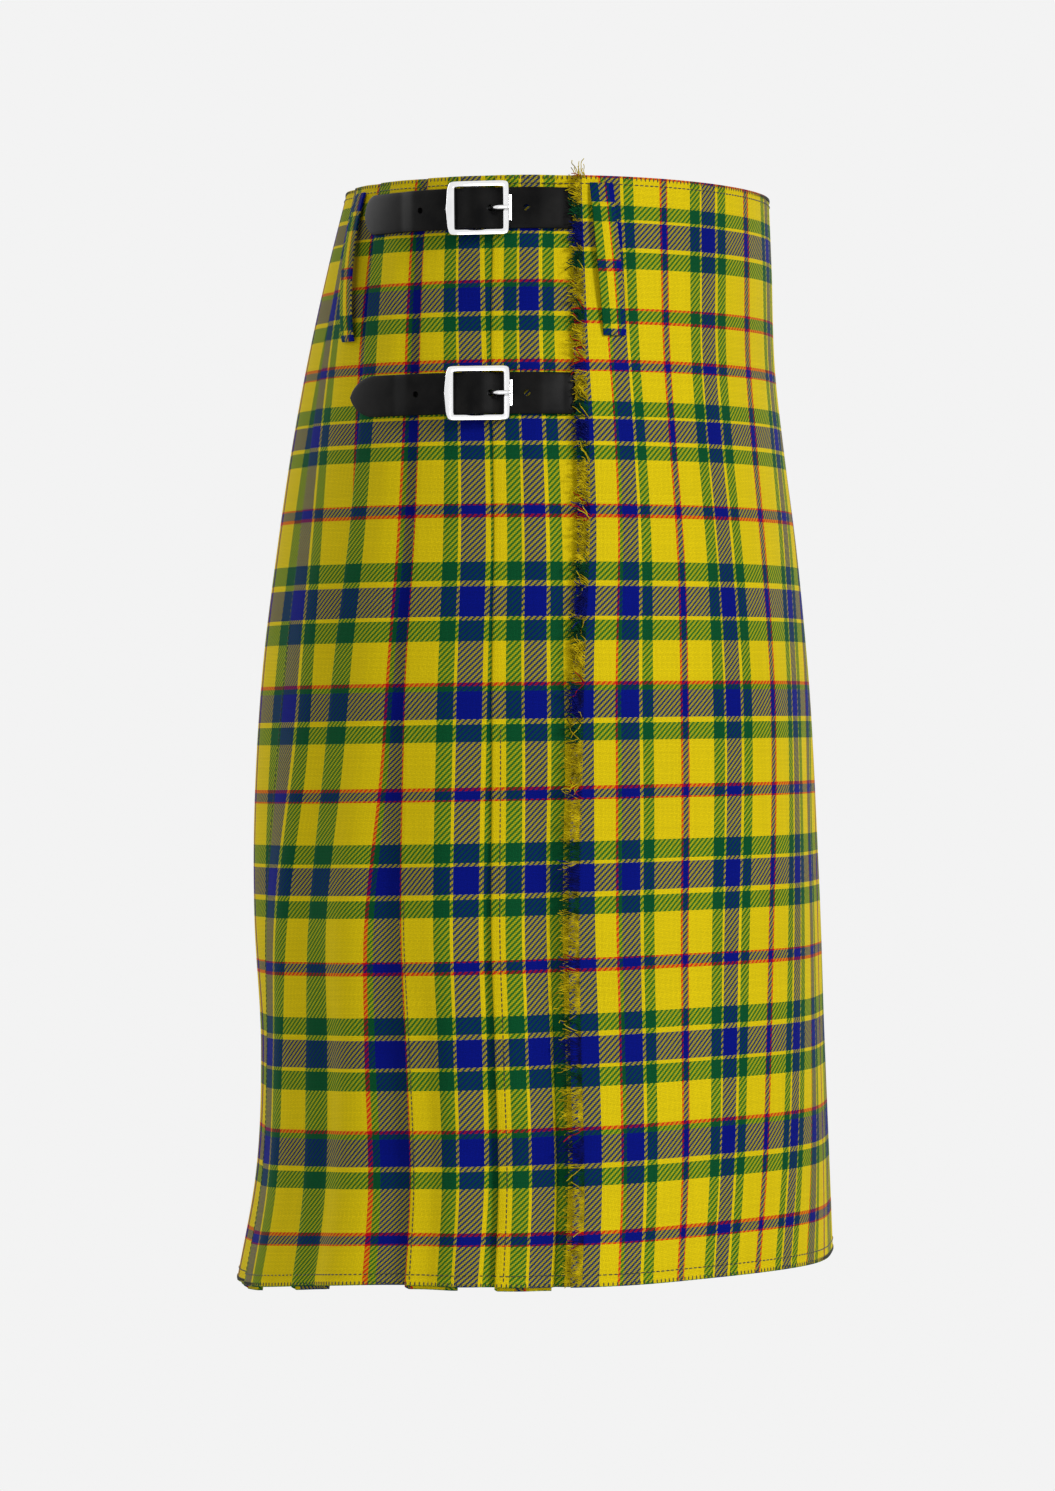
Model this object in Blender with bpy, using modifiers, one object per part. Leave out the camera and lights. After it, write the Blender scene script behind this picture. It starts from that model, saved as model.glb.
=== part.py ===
"""A 24-inch Scottish kilt, hollow, in the form it takes when worn.

Frame: the origin is the centre of the waist edge. +Z is up, -Y is the wearer's front and
-X the wearer's right. An angle runs from centre front (0) by the right side (90) and the
centre back (180) to the left side (270). A drop is a length down from the waist. "Out" is
a height off the kilt's outer surface, so the layers under that surface have negative outs.
"""

import math
from typing import NamedTuple

import bmesh
import bpy
import numpy as np
from mathutils import Vector

MM = 0.001

# Cloth
CLOTH = 1.2 * MM            # wall thickness of the tartan
SEAM_GAP = 0.3 * MM         # clearance wherever two pieces meet
LENGTH = 598.5 * MM         # waist to hem, at the side
HEM_TILT = 8.5 * MM         # the hem rises this much in front and falls it behind
TILT_STARTS = 200 * MM      # drop below which the hem's tilt sets in
HEM_LIFT = 6.2 * MM         # the hem is cut this much higher over each hip's pleats
LIFT_AT = math.radians(122)
LIFT_SPAN = math.radians(32)
LIFT_POWER = 8              # how closely that lift keeps to the hem
WAIST_DIP = 3.2 * MM        # the waist edge dips this much at the front
DIP_SPAN = math.radians(62)
DIP_FADES = 60 * MM         # drop at which the dip has gone
FELL = 220 * MM             # the pleats are sewn flat down to this drop
PITCH_SEWN = 1.6 * MM       # one layer of cloth with its air gap, where sewn
PITCH_HEM = 2.4 * MM        # the same at the hem, where the pleats hang free
UNDERLAP_WAIST = 20 * MM    # depth of cloth folded under each pleat
UNDERLAP_HEM = 30 * MM
UNDERFOLD_DROP = 2 * MM     # the folded layers hang this much lower at the hem
FOLD_BULGE = 0.8 * MM       # reach of a fold's rounded edge

# Straps and buckles, measured from the apron's edge towards the back
STRAP_HALF_WIDTH = 11.3 * MM
STRAP_BEVEL = 0.4 * MM      # its rounded outer edges
STRAP_LENGTH = 139.5 * MM
STRAP_HOLE_RADIUS = 1.75 * MM
STRAP_HOLES = (26 * MM, 88 * MM)
CUTTER_HALF_DEPTH = 8 * MM  # a cutter reaches this far in and out
BUCKLE_AT = 52.6 * MM       # centre bar
BAR_OUT = 2.9 * MM
BAR_RADIUS = 1.1 * MM
RING_HOLE = BAR_RADIUS + SEAM_GAP
RING_RADIUS = 2.6 * MM      # outside of the prong's and the tab's loop round the bar
PRONG_HALF_WIDTH = 1.35 * MM
PRONG_CLEARANCE = 0.4 * MM
TAB_HALF_WIDTH = 11 * MM
TAB_LENGTH = 38 * MM
TAB_TOP = 1.7 * MM
TAB_PARTS = 6               # straight parts that bend the tab round the body
TAB_SLOT_HALF = 6 * MM      # the slot for the prong reaches this far each way from the bar
TAB_SLOT_LOW = -4 * MM
TAB_SLOT_HIGH = 9 * MM

# Belt loops
LOOP_HALF_WIDTH = 6.4 * MM
LOOP_THICKNESS = 1.4 * MM
LOOP_BULGE = 3.0 * MM
LOOP_FULLNESS = 0.7         # how squarely it bulges: 1 is a plain arc
LOOP_TOP = 4 * MM
LOOP_BOTTOM = 88 * MM
LOOP_STATIONS = 9

# Shading: edges sharper than these angles stay crisp
CRISP_DEGREES = 30
SMOOTH_DEGREES = 40
FRAME_DEGREES = 60

# Fringe
FRINGE_OVER = 3 * MM        # lies this far on to the apron
FRINGE_REACH = 7 * MM       # and reaches this far past its edge
FRINGE_THICKNESS = 1.0 * MM
FRINGE_ABOVE = 6 * MM
FRINGE_BELOW = 3 * MM


class Section(NamedTuple):
    """A level ring of the worn kilt: drop, then reach to the front, back and side, in mm."""

    drop: float
    front: float
    back: float
    side: float


SECTIONS = (
    Section(0.0, 119.0, 117.0, 146.0),
    Section(40.0, 120.5, 127.0, 152.0),
    Section(100.0, 122.5, 140.0, 165.0),
    Section(145.0, 127.5, 148.0, 173.0),
    Section(200.0, 134.5, 156.0, 180.0),
    Section(260.0, 140.0, 163.5, 185.0),
    Section(330.0, 145.0, 168.0, 189.0),
    Section(400.0, 148.5, 168.5, 191.0),
    Section(470.0, 151.0, 165.5, 193.0),
    Section(540.0, 154.0, 168.5, 197.0),
    Section(598.5, 156.5, 179.0, 202.0),
)
RINGS = [section.drop * MM for section in SECTIONS]
WALK_STEPS = 12             # parts in which a walk round a ring is summed


class Line(NamedTuple):
    """An edge that runs down the cloth: its angle in degrees at five drops."""

    waist: float
    strap: float            # at the lower strap
    seat: float
    thigh: float
    hem: float


LINE_DROPS = (0.0, 120 * MM, 300 * MM, 480 * MM, LENGTH)
APRON_EDGE = Line(85.5, 81.6, 82.7, 84.8, 83.7)
FOLDS = (
    Line(106.8, 100.8, 98.5, 99.3, 97.5),
    Line(127.0, 119.1, 117.4, 117.8, 114.8),
    Line(145.6, 136.3, 136.9, 144.8, 142.5),
    Line(162.0, 156.0, 155.5, 165.0, 164.0),
    Line(180.0, 177.0, 177.5, 183.5, 185.0),
    Line(198.0, 197.0, 198.0, 201.0, 204.0),
    Line(217.0, 217.0, 218.0, 220.0, 222.0),
    Line(237.0, 237.0, 238.0, 239.0, 240.0),
    Line(257.0, 257.5, 258.0, 258.0, 258.0),
    Line(278.0, 278.0, 278.0, 277.5, 277.0),
)
CENTRE_BACK_FOLD = 5        # how many folds belong to the right half
RISING_SHARES = (0.0, 0.3, 0.65)
FIRST_PANEL_FLAT = 8 * MM   # the first panel stays under the strap this far past the apron
PANEL_TUCK = 20 * MM        # and starts this far under the apron
LEVEL_RUN = 6 * MM          # the under-apron lies level this far before that seam
APRON_TUCK = 12 * MM        # the apron's other end starts this far under the last pleat
APRON_RISE = 25 * MM        # and reaches the outer surface this far past it
APRON_COLUMNS = [math.radians(degrees) for degrees in range(-66, 67, 6)]
UNDER_APRON_LEFT = math.radians(-54)


FULL = 2.0                  # the strap's thickness, in mm
SKIVED = 1.2                # and that of its tongue, which is sewn under the apron


class StrapStation(NamedTuple):
    """The strap's underside, in mm: distance from the apron's edge, out, thickness."""

    along: float
    out: float
    thickness: float


STRAP_PATH = (
    StrapStation(-20.0, -2.85, SKIVED),
    StrapStation(-1.0, -2.85, SKIVED),
    StrapStation(4.0, -2.85, FULL),
    StrapStation(6.0, -2.8, FULL),
    StrapStation(19.5, 0.4, FULL),
    StrapStation(39.1, 0.35, FULL),
    StrapStation(42.6, 0.95, FULL),
    StrapStation(46.6, 3.3, FULL),
    StrapStation(49.6, 5.2, FULL),
    StrapStation(52.6, 5.9, FULL),
    StrapStation(55.6, 5.3, FULL),
    StrapStation(59.6, 3.4, FULL),
    StrapStation(63.6, 2.05, FULL),
    StrapStation(93.6, 2.05, FULL),
    StrapStation(103.6, 0.35, FULL),
    StrapStation(139.5, 0.35, FULL),
)
STRAP_STEP = 6 * MM
PLATE_SLICE = 5 * MM


class Strap(NamedTuple):
    """One strap with its buckle."""

    level: str
    drop: float             # of its middle line
    tip: float              # length of its tip
    tip_power: float        # 0.5 cuts a round tip and 1 a pointed one


TIP_BLUNT = 1.2 * MM        # half width left at a tip's very end
TIP_SHARES = (0.0, 0.3, 0.55, 0.75, 0.9, 1.0)
STRAPS = (
    Strap("upper", 18.0 * MM, 11 * MM, 0.45),
    Strap("lower", 119.0 * MM, 20 * MM, 0.58),
)


class Loop(NamedTuple):
    """A belt loop: its name's ending and the angles of its upper and lower ends."""

    side: str
    top: float
    bottom: float


LOOPS = (
    Loop("front_right", 78.8, 72.7),
    Loop("rear_right", 154.5, 144.5),
    Loop("rear_left", 205.5, 215.5),
    Loop("front_left", 281.2, 287.3),
)


class Finish(NamedTuple):
    """A plain surface: colour, roughness and metallic value."""

    colour: tuple
    roughness: float
    metallic: float


FINISHES = {
    "tartan": Finish((0.50, 0.42, 0.02), 0.85, 0.0),
    "pleat_tartan": Finish((0.42, 0.36, 0.03), 0.85, 0.0),
    "lining_side": Finish((0.10, 0.16, 0.05), 0.9, 0.0),
    "fringe": Finish((0.55, 0.50, 0.10), 0.9, 0.0),
    "leather": Finish((0.01, 0.01, 0.01), 0.4, 0.0),
    "chrome": Finish((0.85, 0.85, 0.86), 0.12, 1.0),
}


# The worn form


def between(low, high, share):
    """The value a share of the way from low to high."""
    return low + (high - low) * share


def outline(drop):
    """Centre, half depth and half width of the kilt's ring at a drop, in metres."""
    row = 1
    while row < len(RINGS) - 1 and drop > RINGS[row]:
        row += 1
    above, below = SECTIONS[row - 1], SECTIONS[row]
    share = (drop / MM - above.drop) / (below.drop - above.drop)
    front = between(above.front, below.front, share)
    back = between(above.back, below.back, share)
    side = between(above.side, below.side, share)
    return (back - front) / 2 * MM, (back + front) / 2 * MM, side * MM


def place(angle, drop, out=0.0, sag=0.0):
    """The world point at an angle, a drop and an out. The sag is extra drop at the hem."""
    centre, depth, side = outline(drop)
    cosine, sine = math.cos(angle), math.sin(angle)
    normal = Vector((-sine / side, -cosine / depth, 0)).normalized()
    free = max(0.0, (drop - TILT_STARTS) / (LENGTH - TILT_STARTS))
    from_front = abs((angle + math.pi) % math.tau - math.pi)
    lift = HEM_LIFT * math.exp(-(((from_front - LIFT_AT) / LIFT_SPAN) ** 2))
    near_waist = min(max(1 - drop / DIP_FADES, 0.0), 1.0)
    dip = WAIST_DIP * math.exp(-((from_front / DIP_SPAN) ** 2)) * near_waist
    height = -drop - dip + (HEM_TILT * cosine - sag) * free + lift * free**LIFT_POWER
    return Vector((-side * sine, centre - depth * cosine, height)) + normal * out


def along(angle, drop, distance):
    """The angle reached by walking a distance round the ring at a drop."""
    _, depth, side = outline(drop)
    for _ in range(WALK_STEPS):
        speed = math.hypot(side * math.cos(angle), depth * math.sin(angle))
        angle += distance / WALK_STEPS / speed
    return angle


def upright(angle, drop, other_drop):
    """The angle, on the kilt's right, that lies straight over or under one at another drop."""
    centre, depth, _ = outline(drop)
    level = centre - depth * math.cos(angle)
    centre, depth, _ = outline(other_drop)
    return math.acos((centre - level) / depth)


def angle_of(line, drop):
    """A line's angle at a drop: a smooth curve through its five values, in radians."""
    slopes = np.gradient(line, LINE_DROPS)
    near = 0
    while near < len(LINE_DROPS) - 2 and drop > LINE_DROPS[near + 1]:
        near += 1
    width = LINE_DROPS[near + 1] - LINE_DROPS[near]
    share = (drop - LINE_DROPS[near]) / width
    rest = 1 - share
    degrees = (
        (1 + 2 * share) * rest**2 * line[near]
        + share * rest**2 * width * slopes[near]
        + share**2 * (3 - 2 * share) * line[near + 1]
        - share**2 * rest * width * slopes[near + 1]
    )
    return math.radians(degrees)


def free_share(drop):
    """How free the pleats hang at a drop: 0 down to the fell, 1 at the hem."""
    return max(0.0, (drop - FELL) / (LENGTH - FELL))


def pitch(drop):
    """Depth of one layer of cloth at a drop."""
    return between(PITCH_SEWN, PITCH_HEM, free_share(drop))


def underlap(drop):
    """Length of cloth folded under a pleat at a drop."""
    return between(UNDERLAP_WAIST, UNDERLAP_HEM, drop / LENGTH)


# Mesh helpers


def finish_material(name):
    """The named plain material, made once."""
    material = bpy.data.materials.get(name)
    if material is None:
        finish = FINISHES[name]
        material = bpy.data.materials.new(name)
        material.use_nodes = True
        shader = material.node_tree.nodes["Principled BSDF"]
        shader.inputs["Base Color"].default_value = (*finish.colour, 1)
        shader.inputs["Roughness"].default_value = finish.roughness
        shader.inputs["Metallic"].default_value = finish.metallic
    return material


def new_object(name, bm, finish, collection, smooth_degrees=SMOOTH_DEGREES):
    """An object in a collection from a bmesh, with its finish and smooth shading."""
    mesh = bpy.data.meshes.new(name)
    bmesh.ops.recalc_face_normals(bm, faces=bm.faces)
    closed = all(edge.is_manifold for edge in bm.edges)
    if closed and bm.calc_volume(signed=True) < 0:
        bmesh.ops.reverse_faces(bm, faces=bm.faces)
    bm.to_mesh(mesh)
    bm.free()
    mesh.materials.append(finish_material(finish))
    mesh.shade_smooth()
    mesh.set_sharp_from_angle(angle=math.radians(smooth_degrees))
    thing = bpy.data.objects.new(name, mesh)
    collection.objects.link(thing)
    return thing


def loft(rows, ring=False, capped=False, endless=False):
    """A bmesh skinned over rows of points. A ring closes each row, endless closes the rows."""
    bm = bmesh.new()
    grid = [[bm.verts.new(point) for point in row] for row in rows]
    width = len(rows[0])
    lanes = width if ring else width - 1
    steps = len(grid) if endless else len(grid) - 1
    for step in range(steps):
        here, there = grid[step], grid[(step + 1) % len(grid)]
        for lane in range(lanes):
            beside = (lane + 1) % width
            bm.faces.new((here[lane], here[beside], there[beside], there[lane]))
    if capped:
        bm.faces.new(grid[0])
        bm.faces.new(grid[-1])
    return bm


def cloth(name, rows, finish, collection):
    """A cloth wall whose middle surface runs through rows of points."""
    bm = loft(rows)
    piece = new_object(name, bm, finish, collection)
    wall = piece.modifiers.new("Cloth", "SOLIDIFY")
    wall.thickness = CLOTH
    wall.offset = 0
    wall.use_even_offset = True
    return piece


def plate(outlines, half_depth, to_world):
    """A flat plate with holes, as a bmesh, carried to the world point by point.

    The first outline is the edge and the others are holes. The plate's own axes are the
    outlines' two and its depth. It is sliced across its first axis before it is carried,
    so that no long face cuts the corner where the plate bends round the body.
    """
    curve = bpy.data.curves.new("plate", "CURVE")
    curve.dimensions = "2D"
    curve.fill_mode = "BOTH"
    curve.extrude = half_depth
    for outline_points in outlines:
        spline = curve.splines.new("POLY")
        spline.points.add(len(outline_points) - 1)
        for point, (across, up) in zip(spline.points, outline_points):
            point.co = (across, up, 0, 1)
        spline.use_cyclic_u = True
    flat = bpy.data.objects.new("plate", curve)
    bpy.context.scene.collection.objects.link(flat)
    graph = bpy.context.evaluated_depsgraph_get()
    mesh = bpy.data.meshes.new_from_object(flat.evaluated_get(graph))
    bpy.data.objects.remove(flat)
    bm = bmesh.new()
    bm.from_mesh(mesh)
    bpy.data.meshes.remove(mesh)
    bmesh.ops.remove_doubles(bm, verts=bm.verts, dist=1e-6)
    first = min(vert.co.x for vert in bm.verts)
    last = max(vert.co.x for vert in bm.verts)
    parts = math.ceil((last - first) / PLATE_SLICE)
    for part in range(1, parts):
        bmesh.ops.bisect_plane(
            bm,
            geom=[*bm.verts, *bm.edges, *bm.faces],
            plane_co=(between(first, last, part / parts), 0, 0),
            plane_no=(1, 0, 0),
            dist=1e-7,
        )
    for vert in bm.verts:
        vert.co = to_world(*vert.co)
    return bm


def circle(centre, radius, first=0.0, last=360.0, count=14):
    """Points on an arc, in degrees. A full turn leaves its last point out."""
    whole = abs(last - first) >= 360
    parts = count if whole else count - 1
    angles = [math.radians(between(first, last, i / parts)) for i in range(count)]
    return [
        (centre[0] + radius * math.cos(a), centre[1] + radius * math.sin(a))
        for a in angles
    ]


def boolean(piece, tool, operation):
    """Cuts a piece by a tool, or joins the tool to it. The tool isn't part of the kilt."""
    tool.hide_render = True
    tool.display_type = "WIRE"
    modifier = piece.modifiers.new(operation.title(), "BOOLEAN")
    modifier.operation = operation
    modifier.object = tool


# Cloth pieces


def middle_point(angle, drop, out, sag=0.0):
    """A point on a layer's middle surface, for a layer whose outer face is at an out."""
    return place(angle, drop, out - CLOTH / 2, sag)


def rising_panel(drop, start, inner):
    """The part of a pleat that climbs from under the last fold to the outer surface."""
    depth = 2 * pitch(drop)
    return [
        middle_point(between(start, inner, share), drop, -depth * (1 - share))
        for share in RISING_SHARES
    ]


def folded_edge(drop, inner, fold):
    """The top layer over its underlap, its exposed fold and the layer turned back under."""
    step = pitch(drop)
    edge = along(fold, drop, -FOLD_BULGE)
    centre = between(inner, fold, 0.5)
    back_in = along(inner, drop, FOLD_BULGE)
    return [
        middle_point(inner, drop, 0.0),
        middle_point(centre, drop, 0.0),
        middle_point(edge, drop, 0.0),
        middle_point(fold, drop, -step / 2, UNDERFOLD_DROP / 2),
        middle_point(edge, drop, -step, UNDERFOLD_DROP),
        middle_point(centre, drop, -step, UNDERFOLD_DROP),
        middle_point(back_in, drop, -step, UNDERFOLD_DROP),
    ]


def hidden_start(drop, inner, fold):
    """The next panel's hidden start, which lies innermost, up to the fold that covers it."""
    step = pitch(drop)
    return [
        middle_point(along(inner, drop, FOLD_BULGE), drop, -2 * step, UNDERFOLD_DROP),
        middle_point(between(inner, fold, 0.5), drop, -2 * step, UNDERFOLD_DROP),
    ]


def pleat_row(drop, first, last):
    """The folded mid-line, at one drop, of the pleats with folds number first to last."""
    row = []
    if first == 0:
        edge = angle_of(APRON_EDGE, drop)
        start = along(edge, drop, FIRST_PANEL_FLAT)
        for angle in (along(edge, drop, -PANEL_TUCK), edge):
            row.append(middle_point(angle, drop, -2 * pitch(drop)))
    else:
        start = angle_of(FOLDS[first - 1], drop)
        inner = along(start, drop, -underlap(drop))
        row += hidden_start(drop, inner, start)
    for number in range(first, last):
        fold = angle_of(FOLDS[number], drop)
        inner = along(fold, drop, -underlap(drop))
        row += rising_panel(drop, start, inner)
        row += folded_edge(drop, inner, fold)
        if number < last - 1:
            turn = middle_point(inner, drop, -1.5 * pitch(drop), UNDERFOLD_DROP)
            row.append(turn)
            row += hidden_start(drop, inner, fold)
        start = fold
    return row


def front_apron_row(drop):
    """The over-apron at one drop, from under the last pleat to the fringed edge."""
    last_fold = angle_of(FOLDS[-1], drop) - math.tau
    step = pitch(drop)
    row = [
        middle_point(along(last_fold, drop, -APRON_TUCK), drop, -2 * step),
        middle_point(last_fold, drop, -2 * step),
        middle_point(along(last_fold, drop, APRON_RISE / 2), drop, -step),
        middle_point(along(last_fold, drop, APRON_RISE), drop, 0.0),
    ]
    row += [middle_point(angle, drop, 0.0) for angle in APRON_COLUMNS]
    edge = angle_of(APRON_EDGE, drop)
    for share in (1 / 3, 2 / 3, 1.0):
        row.append(middle_point(between(APRON_COLUMNS[-1], edge, share), drop, 0.0))
    return row


def under_apron_row(drop):
    """The under-apron at one drop, from its free left edge to its seam with the pleats."""
    step = pitch(drop)
    columns = [angle for angle in APRON_COLUMNS if angle > UNDER_APRON_LEFT - 0.01]
    row = [middle_point(angle, drop, -step) for angle in columns[:-1]]
    row.append(middle_point(columns[-1], drop, -1.5 * step))
    seam = along(angle_of(APRON_EDGE, drop), drop, -PANEL_TUCK - SEAM_GAP)
    for distance in (-LEVEL_RUN, 0.0):
        row.append(middle_point(along(seam, drop, distance), drop, -2 * step))
    return row


def make_cloth(collection):
    """The aprons and the pleated back."""
    last = len(FOLDS)
    pleats = {
        "pleats_right": (0, CENTRE_BACK_FOLD),
        "pleats_left": (CENTRE_BACK_FOLD, last),
    }
    for name, (first, end) in pleats.items():
        rows = [pleat_row(drop, first, end) for drop in RINGS]
        cloth(name, rows, "pleat_tartan", collection)
    cloth("front_apron", [front_apron_row(drop) for drop in RINGS], "tartan", collection)
    rows = [under_apron_row(drop) for drop in RINGS]
    cloth("under_apron", rows, "lining_side", collection)


def strip_section(angles, drop, low, high):
    """A strip's closed section at a drop: its underside one way, then its face back."""
    under = [place(angle, drop, low) for angle in angles]
    return under + [place(angle, drop, high) for angle in reversed(angles)]


def make_fringe(collection):
    """The plain strip that the fringe fills, on the apron's edge and past it."""
    rows = []
    drops = [-FRINGE_ABOVE] + RINGS[1:-1] + [LENGTH + FRINGE_BELOW]
    for drop in drops:
        edge = angle_of(APRON_EDGE, min(max(drop, 0.0), LENGTH))
        front = along(edge, drop, -FRINGE_OVER)
        back = along(edge, drop, FRINGE_REACH)
        high = SEAM_GAP + FRINGE_THICKNESS
        rows.append(strip_section((front, edge, back), drop, SEAM_GAP, high))
    bm = loft(rows, ring=True, capped=True)
    new_object("apron_fringe", bm, "fringe", collection, CRISP_DEGREES)


# Belt loops


def surface_out(angle, drop):
    """How far out the visible cloth lies at a place: 0, or less where a pleat climbs."""
    angle %= math.tau
    edge = angle_of(APRON_EDGE, drop)
    depth = 2 * pitch(drop)
    start = edge
    for line in FOLDS:
        fold = angle_of(line, drop)
        if edge < angle < fold:
            inner = along(fold, drop, -underlap(drop))
            share = (angle - start) / (inner - start)
            return -depth * (1 - min(max(share, 0.0), 1.0))
        start = fold
    return 0.0


def make_loop(loop, collection):
    """A cloth strip sewn down at both ends, which stands off between them."""
    rows = []
    for number in range(LOOP_STATIONS):
        share = number / (LOOP_STATIONS - 1)
        drop = between(LOOP_TOP, LOOP_BOTTOM, share)
        middle = math.radians(between(loop.top, loop.bottom, share))
        left = along(middle, drop, -LOOP_HALF_WIDTH)
        right = along(middle, drop, LOOP_HALF_WIDTH)
        base = max(surface_out(angle, drop) for angle in (left, middle, right))
        low = base + SEAM_GAP + LOOP_BULGE * math.sin(math.pi * share) ** LOOP_FULLNESS
        rows.append(strip_section((left, middle, right), drop, low, low + LOOP_THICKNESS))
    bm = loft(rows, ring=True, capped=True)
    new_object(f"belt_loop_{loop.side}", bm, "pleat_tartan", collection, CRISP_DEGREES)


# Straps and buckles


def strap_place(strap, distance, up, out):
    """The world point at a distance from the apron's edge, a height over the strap's middle."""
    edge = angle_of(APRON_EDGE, strap.drop)
    drop = strap.drop - up
    angle = along(edge, strap.drop, distance)
    return place(upright(angle, strap.drop, drop), drop, out)


def strap_level(distance):
    """The strap's underside and its thickness at a distance from the apron's edge."""
    at = distance / MM
    for near, far in zip(STRAP_PATH, STRAP_PATH[1:]):
        if at <= far.along:
            share = (at - near.along) / (far.along - near.along)
            low = between(near.out, far.out, share)
            return low * MM, between(near.thickness, far.thickness, share) * MM
    return STRAP_PATH[-1].out * MM, STRAP_PATH[-1].thickness * MM


def strap_half_width(strap, distance):
    """The strap's half width, which runs out in a rounded or pointed tip."""
    from_end = min(max(STRAP_LENGTH - distance, 0.0) / strap.tip, 1.0)
    cut = math.sin(math.pi / 2 * from_end) ** strap.tip_power
    return max(TIP_BLUNT, STRAP_HALF_WIDTH * cut)


def strap_stations(strap):
    """Distances at which the strap's section is drawn: its path's rows and steps between."""
    rows = [station.along * MM for station in STRAP_PATH[:-1]]
    stations = []
    tip_start = STRAP_LENGTH - strap.tip
    for near, far in zip(rows, rows[1:] + [tip_start]):
        parts = max(1, math.ceil((far - near) / STRAP_STEP))
        stations += [between(near, far, part / parts) for part in range(parts)]
    stations += [tip_start + strap.tip * share for share in TIP_SHARES]
    return stations


def by_profile(strap):
    """Carries a plate drawn from the side: its own axes are distance, out and height."""
    return lambda distance, out, up: strap_place(strap, distance, up, out)


def by_face(strap):
    """Carries a plate drawn from outside: its own axes are distance, height and out."""
    return lambda distance, up, out: strap_place(strap, distance, up, out)


def make_strap(strap, collection, tools):
    """A leather strap with its punched holes and the slot that its prong comes through."""
    rows = []
    for distance in strap_stations(strap):
        low, thickness = strap_level(distance)
        half = strap_half_width(strap, distance)
        high = low + thickness
        bevel = min(STRAP_BEVEL, half / 3)
        section = (
            (-half, low),
            (half, low),
            (half, high - bevel),
            (half - bevel, high),
            (-half + bevel, high),
            (-half, high - bevel),
        )
        rows.append([strap_place(strap, distance, up, out) for up, out in section])
    bm = loft(rows, ring=True, capped=True)
    piece = new_object(f"strap_{strap.level}", bm, "leather", collection, CRISP_DEGREES)
    for number, hole in enumerate(STRAP_HOLES):
        name = f"hole_{strap.level}_{number}"
        edge = circle((hole, 0), STRAP_HOLE_RADIUS, count=10)
        bm = plate([edge], CUTTER_HALF_DEPTH, by_face(strap))
        boolean(piece, new_object(name, bm, "leather", tools), "DIFFERENCE")
    clear = PRONG_CLEARANCE
    top = [(x, out + clear) for x, out in prong_top()]
    bottom = [(x, out - clear) for x, out in prong_bottom()]
    bm = plate([top + bottom], PRONG_HALF_WIDTH + clear, by_profile(strap))
    slot = new_object(f"slot_{strap.level}", bm, "leather", tools)
    boolean(piece, slot, "DIFFERENCE")


def from_bar(*pairs):
    """Distances and outs in metres, from pairs in mm: forward of the centre bar, and out."""
    return [(BUCKLE_AT - forward * MM, out * MM) for forward, out in pairs]


def prong_top():
    """The blade's upper edge, from the bar to the tip."""
    return from_bar((0, 5.5), (6, 5.85), (10, 6.3), (15, 7.0), (17.5, 6.9), (18.8, 6.4))


def prong_bottom():
    """The blade's lower edge, from the tip back to its ring."""
    return from_bar((17.5, 5.8), (15, 5.75), (10, 5.1), (6, 4.65), (2.1, 4.43))


def make_prong(strap, collection):
    """The prong: a ring round the centre bar and a blade that rests on the front bar."""
    centre = (BUCKLE_AT, BAR_OUT)
    ring = circle(centre, RING_RADIUS, 165, 435, 12)
    edge = prong_top() + prong_bottom() + ring
    hole = circle(centre, RING_HOLE, count=12)
    bm = plate([edge, hole], PRONG_HALF_WIDTH, by_profile(strap))
    new_object(f"buckle_prong_{strap.level}", bm, "chrome", collection)


def make_tab(strap, collection, tools):
    """The leather tab that loops round the bar and is sewn to the pleats behind it."""
    centre = (BUCKLE_AT, BAR_OUT)
    meets = math.degrees(math.asin((TAB_TOP - BAR_OUT) / RING_RADIUS))
    loop = circle(centre, RING_RADIUS, 270, meets, 14)
    end = BUCKLE_AT + TAB_LENGTH
    steps = [part / TAB_PARTS for part in range(TAB_PARTS)]
    top = [(between(end, loop[-1][0], share), TAB_TOP) for share in steps]
    bottom = [(between(end, BUCKLE_AT, share), SEAM_GAP) for share in steps]
    hole = circle(centre, RING_HOLE, count=12)
    bm = plate([loop + top[::-1] + bottom, hole], TAB_HALF_WIDTH, by_profile(strap))
    piece = new_object(f"buckle_tab_{strap.level}", bm, "leather", collection, CRISP_DEGREES)
    front, back = BUCKLE_AT - TAB_SLOT_HALF, BUCKLE_AT + TAB_SLOT_HALF
    low, high = TAB_SLOT_LOW, TAB_SLOT_HIGH
    edge = [(front, low), (back, low), (back, high), (front, high)]
    slot = plate([edge], PRONG_HALF_WIDTH + 2 * PRONG_CLEARANCE, by_profile(strap))
    tool = new_object(f"tab_slot_{strap.level}", slot, "leather", tools)
    boolean(piece, tool, "DIFFERENCE")


class Outline(NamedTuple):
    """A rounded rectangle round the centre bar, in mm."""

    front: float            # reach forward of the bar
    back: float             # and behind it
    half_height: float
    front_bulge: float      # how far its bars bow outwards at their middles
    back_bulge: float
    power: float            # how square it is: 0 has sharp corners and 1 is an ellipse


FRAME_WINDOW = Outline(14.7, 11.8, 11.7, 0.0, 0.0, 0.10)
FRAME_OUTSIDE = Outline(17.6, 15.0, 15.0, 0.6, 2.2, 0.17)
FRAME_STATIONS = 28
FRAME_SIDES = 8


class FrameSection(NamedTuple):
    """The frame's section, in mm."""

    front_out: float = 4.2
    back_out: float = 5.6
    half_depth: float = 1.25
    ear_low: float = 1.7    # underside of the rails where they carry the centre bar
    ear_reach: float = 6.0  # and how far from the bar the rails come down to it


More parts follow.
